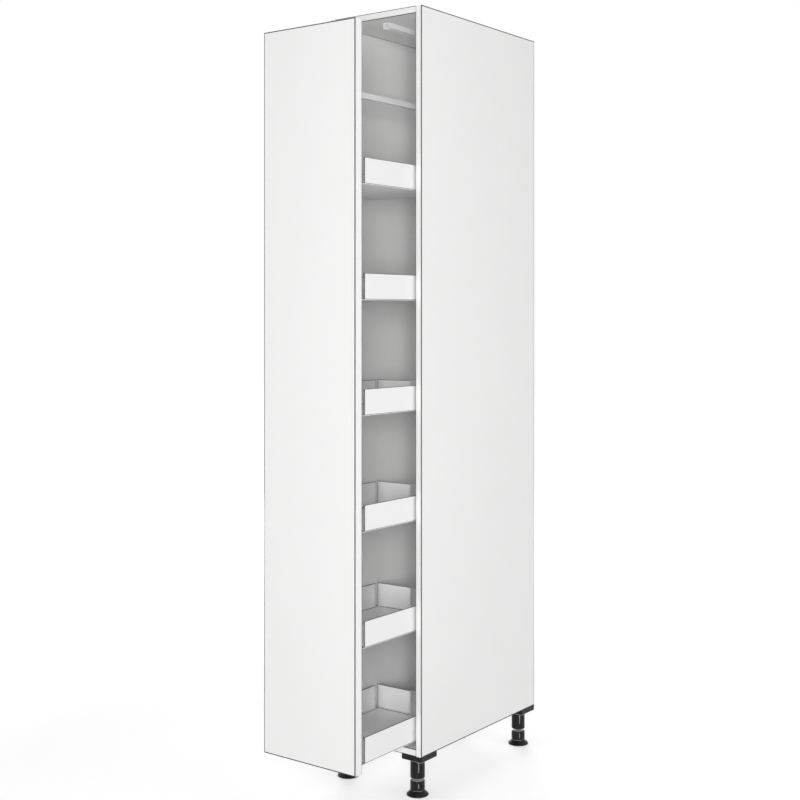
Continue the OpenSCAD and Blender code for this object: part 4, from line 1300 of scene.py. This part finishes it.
@dataclass
class Legs:
    """Four screw feet with threaded spindles, below moulded sockets."""

    palette: Palette
    disc_r: float = 29 * MM
    disc_h: float = 14 * MM
    lip: float = 2.2 * MM
    lip_turn: tuple[float, float] = (-90, 60)
    neck: float = 2 * MM
    collar_r: float = 19 * MM
    collar_h: float = 26 * MM
    shoulder: float = 3.5 * MM
    low_r: float = 1.5 * MM
    spindle_r: float = 8 * MM
    spindle_bevel: float = 2 * MM
    thread_pitch: float = 3 * MM
    thread_depth: float = 0.9 * MM
    runout: float = 0.5 * MM
    grips: int = 8
    grip_w: float = 5 * MM
    grip_h: float = 15 * MM
    grip_depth: float = 1.2 * MM
    grip_slope: float = 2.2
    grip_margin: float = 0.3 * MM
    segments: int = 96
    lip_steps: int = 8
    round_steps: int = 6
    grip_steps: int = 24
    turn_steps: int = 8

    @property
    def collar_top(self) -> float:
        """Height of the collar's top above the floor."""
        return self.disc_h + self.collar_h

    def arc(self, centre: tuple[float, float], radius: float, start: float, end: float,
            count: int) -> Outline:
        """Points of a round corner of the outline, with angles in degrees."""
        turns = [math.radians(angle) for angle in steps(start, end, count)]
        return [(centre[0] + radius * math.cos(turn), centre[1] + radius * math.sin(turn)) for turn in turns]

    def outline(self, height: float) -> Outline:
        """Draws disc, collar and spindle.

        Args:
            height: the spindle's top above the floor.

        Returns:
            The outline, from the floor up.
        """
        neck_r, neck_low = self.collar_r - self.neck, self.disc_h - self.neck
        points = [(0, 0), (self.disc_r / 2, 0)]
        points += self.arc((self.disc_r - self.lip, self.lip), self.lip, *self.lip_turn, self.lip_steps)
        points += [(self.collar_r, neck_low), (neck_r, neck_low), (neck_r, self.disc_h)]
        low_centre = (self.collar_r - self.low_r, self.disc_h + self.low_r)
        points += self.arc(low_centre, self.low_r, start=-90, end=0, count=self.round_steps)
        grip_low = low_centre[1] + self.grip_margin
        grip_top = self.collar_top - self.shoulder - self.grip_margin
        points += [(self.collar_r, level) for level in steps(grip_low, grip_top, self.grip_steps)]
        top_centre = (self.collar_r - self.shoulder, self.collar_top - self.shoulder)
        points += self.arc(top_centre, self.shoulder, start=0, end=90, count=self.round_steps)
        points += [(self.spindle_r - self.thread_depth, self.collar_top)]
        first, last = self.collar_top + self.runout, height - self.spindle_bevel
        count = round((last - first) / self.thread_pitch * self.turn_steps)
        points += [(self.spindle_r, level) for level in steps(first, last, count)]
        return [*points, (self.spindle_r - self.spindle_bevel, height), (0, height)]

    def shape(self, height: float) -> Shape:
        """Cuts the thread on the spindle and the oval grips in the collar.

        Args:
            height: the spindle's top above the floor.

        Returns:
            A function from outline radius, height and angle to the radius there.
        """
        root = self.spindle_r - self.thread_depth
        spiral = thread(self.spindle_r, root, self.thread_pitch, self.collar_top, height)
        middle = self.disc_h + self.collar_h / 2

        def cut(radius: float, level: float, angle: float) -> float:
            """Lowers the radius in the grips and between the thread's turns.

            Args:
                radius: the outline's radius.
                level: the height above the floor.
                angle: the angle round the foot.

            Returns:
                The radius there.
            """
            if level > self.collar_top:
                return spiral(radius, level, angle)
            if abs(radius - self.collar_r) > SAME_RADIUS:
                return radius
            step = math.tau / self.grips
            across = abs((angle + step / 2) % step - step / 2) * self.collar_r
            along = max(abs(level - middle) - (self.grip_h - self.grip_w) / 2, 0)
            reach = 1 - math.hypot(across, along) / (self.grip_w / 2)
            return radius - self.grip_depth * min(max(reach * self.grip_slope, 0), 1)
        return cut

    def build(self) -> None:
        """Replaces each plain foot and dresses the sockets."""
        dress(self.palette.black, "leg_sockets")
        for end in ("front", "rear"):
            for side in ("left", "right"):
                name = f"foot_{end}_{side}"
                low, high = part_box(name)
                foot = revolve(name + "_turned", self.outline(high.z), self.segments, self.shape(high.z))
                centre = (low + high) / 2
                for vertex in foot.vertices:
                    vertex.co += Vector((centre.x, centre.y, low.z))
                piece(name + "_threaded", [foot], self.palette.black, name, Slot.BLACK.value, name)


# ---- Carcass, runner, frame and trays ----


@dataclass
class Carcass:
    """The boards, with what joins them and the wall brackets."""

    palette: Palette

    def build(self) -> None:
        """Dresses each board by its own edges, and the fittings."""
        for node, broad in (("side_panel_left", Axis.X), ("side_panel_right", Axis.X), ("top_board", Axis.Z),
                            ("base_board", Axis.Z), ("back_panel", Axis.Y)):
            raw = None if node == "back_panel" else Axis.Y
            dress(self.palette.board(node, broad, raw), node)
        dress(self.palette.beech, "dowels")
        dress(self.palette.zinc, "cam_bolts", "cam_housings", "wall_brackets")


@dataclass
class Runner:
    """The base runner and the top guide."""

    palette: Palette
    balls: BallRows
    ball_r: float = 3 * MM

    def build(self) -> None:
        """Dresses the members and sets smooth balls in the cages."""
        dress(self.palette.zinc, "runner_base_member", "runner_middle_member", "runner_top_member",
              "guide_arm", "guide_pins", "mast", "post_spigots")
        dress(self.palette.coat, "guide_rail")
        dress(self.palette.grey, "lower_ball_cages", "upper_ball_cages",
              "guide_roller_front", "guide_roller_rear")
        dress(self.palette.rubber, "runner_buffers")
        for node, body in (("lower_balls", Body.LOWER_CAGES), ("upper_balls", Body.UPPER_CAGES)):
            centres = bpy.data.meshes.new(node + "_centres")
            centres.from_pydata([tuple(solid.centre) for solid in solids_of(node)], [], [])
            made = self.balls.grow(node, centres, Radius=self.ball_r, Finish=self.palette.balls)
            piece(node + "_polished", [made], self.palette.balls, body.value, Slot.BALLS.value, node)


@dataclass
class TrayFrame:
    """The posts, the beam and the slab front that they carry."""

    palette: Palette

    def build(self) -> None:
        """Dresses them."""
        dress(self.palette.coat, "front_post", "rear_post")
        dress(self.palette.edged("top_beam", Axis.X), "top_beam")
        dress(self.palette.grey, "post_cap")
        dress(self.palette.zinc, "panel_brackets")
        dress(self.palette.board("front_panel", Axis.Y, None), "front_panel")


@dataclass
class Trays:
    """The six trays with their hooks and weld marks."""

    palette: Palette
    welds: WeldRows
    wall_t: float = 1.5 * MM
    weld_inset: float = 6 * MM
    end_margin: float = 24 * MM

    def weld_lines(self) -> bpy.types.Mesh:
        """Draws lines along every wall's folded foot, on its upper face.

        Returns:
            A mesh of loose edges.
        """
        vertices: list[Triple] = []
        for number in TRAYS:
            low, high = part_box(f"tray_{number}_floor")
            wall_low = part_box(f"tray_{number}_side_walls")[0].z
            level = wall_low + self.wall_t
            for x in (low.x + self.weld_inset, high.x - self.weld_inset):
                vertices += [(x, low.y + self.end_margin, level), (x, high.y - self.end_margin, level)]
            for y in (low.y + self.weld_inset, high.y - self.weld_inset):
                vertices += [(low.x + self.end_margin, y, level), (high.x - self.end_margin, y, level)]
        mesh = bpy.data.meshes.new("weld_lines")
        mesh.from_pydata(vertices, [(start, start + 1) for start in range(0, len(vertices), 2)], [])
        return mesh

    def build(self) -> None:
        """Dresses the trays and sets the weld marks."""
        for number in TRAYS:
            dress(self.palette.coat, f"tray_{number}_floor")
            for part, across in (("side_walls", Axis.X), ("end_walls", Axis.Y)):
                node = f"tray_{number}_{part}"
                dress(self.palette.edged(node, across), node)
        dress(self.palette.zinc, "tray_hooks_front", "tray_hooks_rear")
        marks = self.welds.grow("weld_marks", self.weld_lines(), Finish=self.palette.coat)
        piece("tray_weld_marks", [marks], self.palette.coat, Body.PULL_OUT.value, Slot.COAT.value)


# ---- Studio ----


@dataclass(frozen=True)
class Softbox:
    """A plain area lamp that looks at a point, by default the middle of the unit."""

    name: str
    at: Triple
    width: float
    height: float
    power: float
    towards: Triple = (0, 0, 1.0)

    def build(self) -> None:
        """Hangs the lamp."""
        lamp = bpy.data.lights.new(self.name, "AREA")
        lamp.shape = "RECTANGLE"
        lamp.size, lamp.size_y, lamp.energy = self.width, self.height, self.power
        hung = bpy.data.objects.new(self.name, lamp)
        hung.location = self.at
        hung.rotation_euler = (Vector(self.towards) - Vector(self.at)).to_track_quat("-Z", "Y").to_euler()
        bpy.context.scene.collection.objects.link(hung)


@dataclass
class Studio:
    """Camera, lamps, pale world and floor."""

    image: int = 800
    focal_pixels: float = 1293.8
    horizon_row: float = 312.5
    eye: Triple = (2.0754, -2.8242, 1.2455)
    turn: float = math.radians(36.668)
    sensor: float = 36.0
    sky: float = 0.37
    floor_half: float = 14.0
    floor_grey: float = 0.86
    floor_roughness: float = 0.9
    floor_lift: tuple[float, float] = (0.4, 0.74)
    floor_fade: tuple[float, float] = (1.1, 3.2)
    lamps: tuple[Softbox, ...] = (
        Softbox("key", at=(2.94, -4.05, 1.4), width=1.1, height=1.7, power=146.0),
        Softbox("side", at=(5.0, 0.9, 2.0), width=2.0, height=2.2, power=30.0),
        Softbox("back", at=(-3.2, 3.8, 2.2), width=2.4, height=2.4, power=120.0),
    )

    def camera(self) -> None:
        """Sets the camera where the picture was seen from, level, with its horizon above the middle."""
        lens = bpy.data.cameras.new("camera")
        lens.sensor_width = self.sensor
        lens.lens = self.focal_pixels * self.sensor / self.image
        lens.shift_y = (self.horizon_row - self.image / 2) / self.image
        camera = bpy.data.objects.new("camera", lens)
        camera.location = self.eye
        camera.rotation_euler = (math.pi / 2, 0, self.turn)
        bpy.context.scene.collection.objects.link(camera)
        bpy.context.scene.camera = camera

    def seen(self, tree: bpy.types.NodeTree) -> Socket:
        """Tells rays that see from rays that light.

        Args:
            tree: the nodes to add to.

        Returns:
            1 for rays from the camera, a gloss or a clear piece, and 0 for light.
        """
        path = tree.nodes.new("ShaderNodeLightPath")
        total = path.outputs["Is Camera Ray"]
        for name in ("Is Glossy Ray", "Is Transmission Ray"):
            both = tree.nodes.new("ShaderNodeMath")
            both.operation = "MAXIMUM"
            tree.links.new(total, both.inputs[0])
            tree.links.new(path.outputs[name], both.inputs[1])
            total = both.outputs[0]
        return total

    def world(self) -> None:
        """A white surround whose light on the object is softer than what the camera sees."""
        world = bpy.data.worlds.new("surround")
        bpy.context.scene.world = world
        world.use_nodes = True
        tree = world.node_tree
        strength = tree.nodes.new("ShaderNodeMapRange")
        strength.inputs["To Min"].default_value = self.sky
        tree.links.new(self.seen(tree), strength.inputs["Value"])
        back = tree.nodes["Background"]
        back.inputs["Color"].default_value = (1, 1, 1, 1)
        tree.links.new(strength.outputs[0], back.inputs["Strength"])

    def floor(self) -> None:
        """A plain pale floor that keeps the object's shadow and fades into the surround."""
        mesh = bpy.data.meshes.new("floor")
        half = self.floor_half
        corners = [(-half, -half, 0), (half, -half, 0), (half, half, 0), (-half, half, 0)]
        mesh.from_pydata(corners, [], [(0, 1, 2, 3)])
        sheet = ShaderSheet("pale_floor")
        sheet.set(Base_Color=(self.floor_grey, self.floor_grey, self.floor_grey))
        sheet.set(Roughness=self.floor_roughness, Specular_IOR_Level=0.0, Emission_Color=(1.0, 1.0, 1.0))
        away = sheet.node("VectorMath", operation="LENGTH")
        sheet.feed(away.inputs[0], sheet.place)
        fade = sheet.node("MapRange")
        sheet.feed(fade.inputs["Value"], away.outputs["Value"])
        ends = zip(("From Min", "From Max", "To Min", "To Max"), (*self.floor_fade, *self.floor_lift))
        for socket, value in ends:
            sheet.feed(fade.inputs[socket], value)
        sheet.set(Emission_Strength=sheet.math("MULTIPLY", self.seen(sheet.tree), fade.outputs[0]))
        mesh.materials.append(sheet.material)
        loose_object("floor", mesh)

    def build(self) -> None:
        """Sets up the studio."""
        bpy.context.scene.view_settings.view_transform = "Standard"
        self.camera()
        self.world()
        self.floor()
        for lamp in self.lamps:
            lamp.build()


def main() -> None:
    """Builds the sub-assemblies in order."""
    logging.basicConfig(level=logging.INFO, format="%(message)s")
    palette = Palette()
    parts = (
        Studio(), Carcass(palette), Legs(palette), Runner(palette, BallRows()), TrayFrame(palette),
        Trays(palette, WeldRows()), Fasteners(palette, Copies()),
    )
    for part in parts:
        part.build()
        LOG.info("%s done", type(part).__name__)


if __name__ == "__main__":
    main()
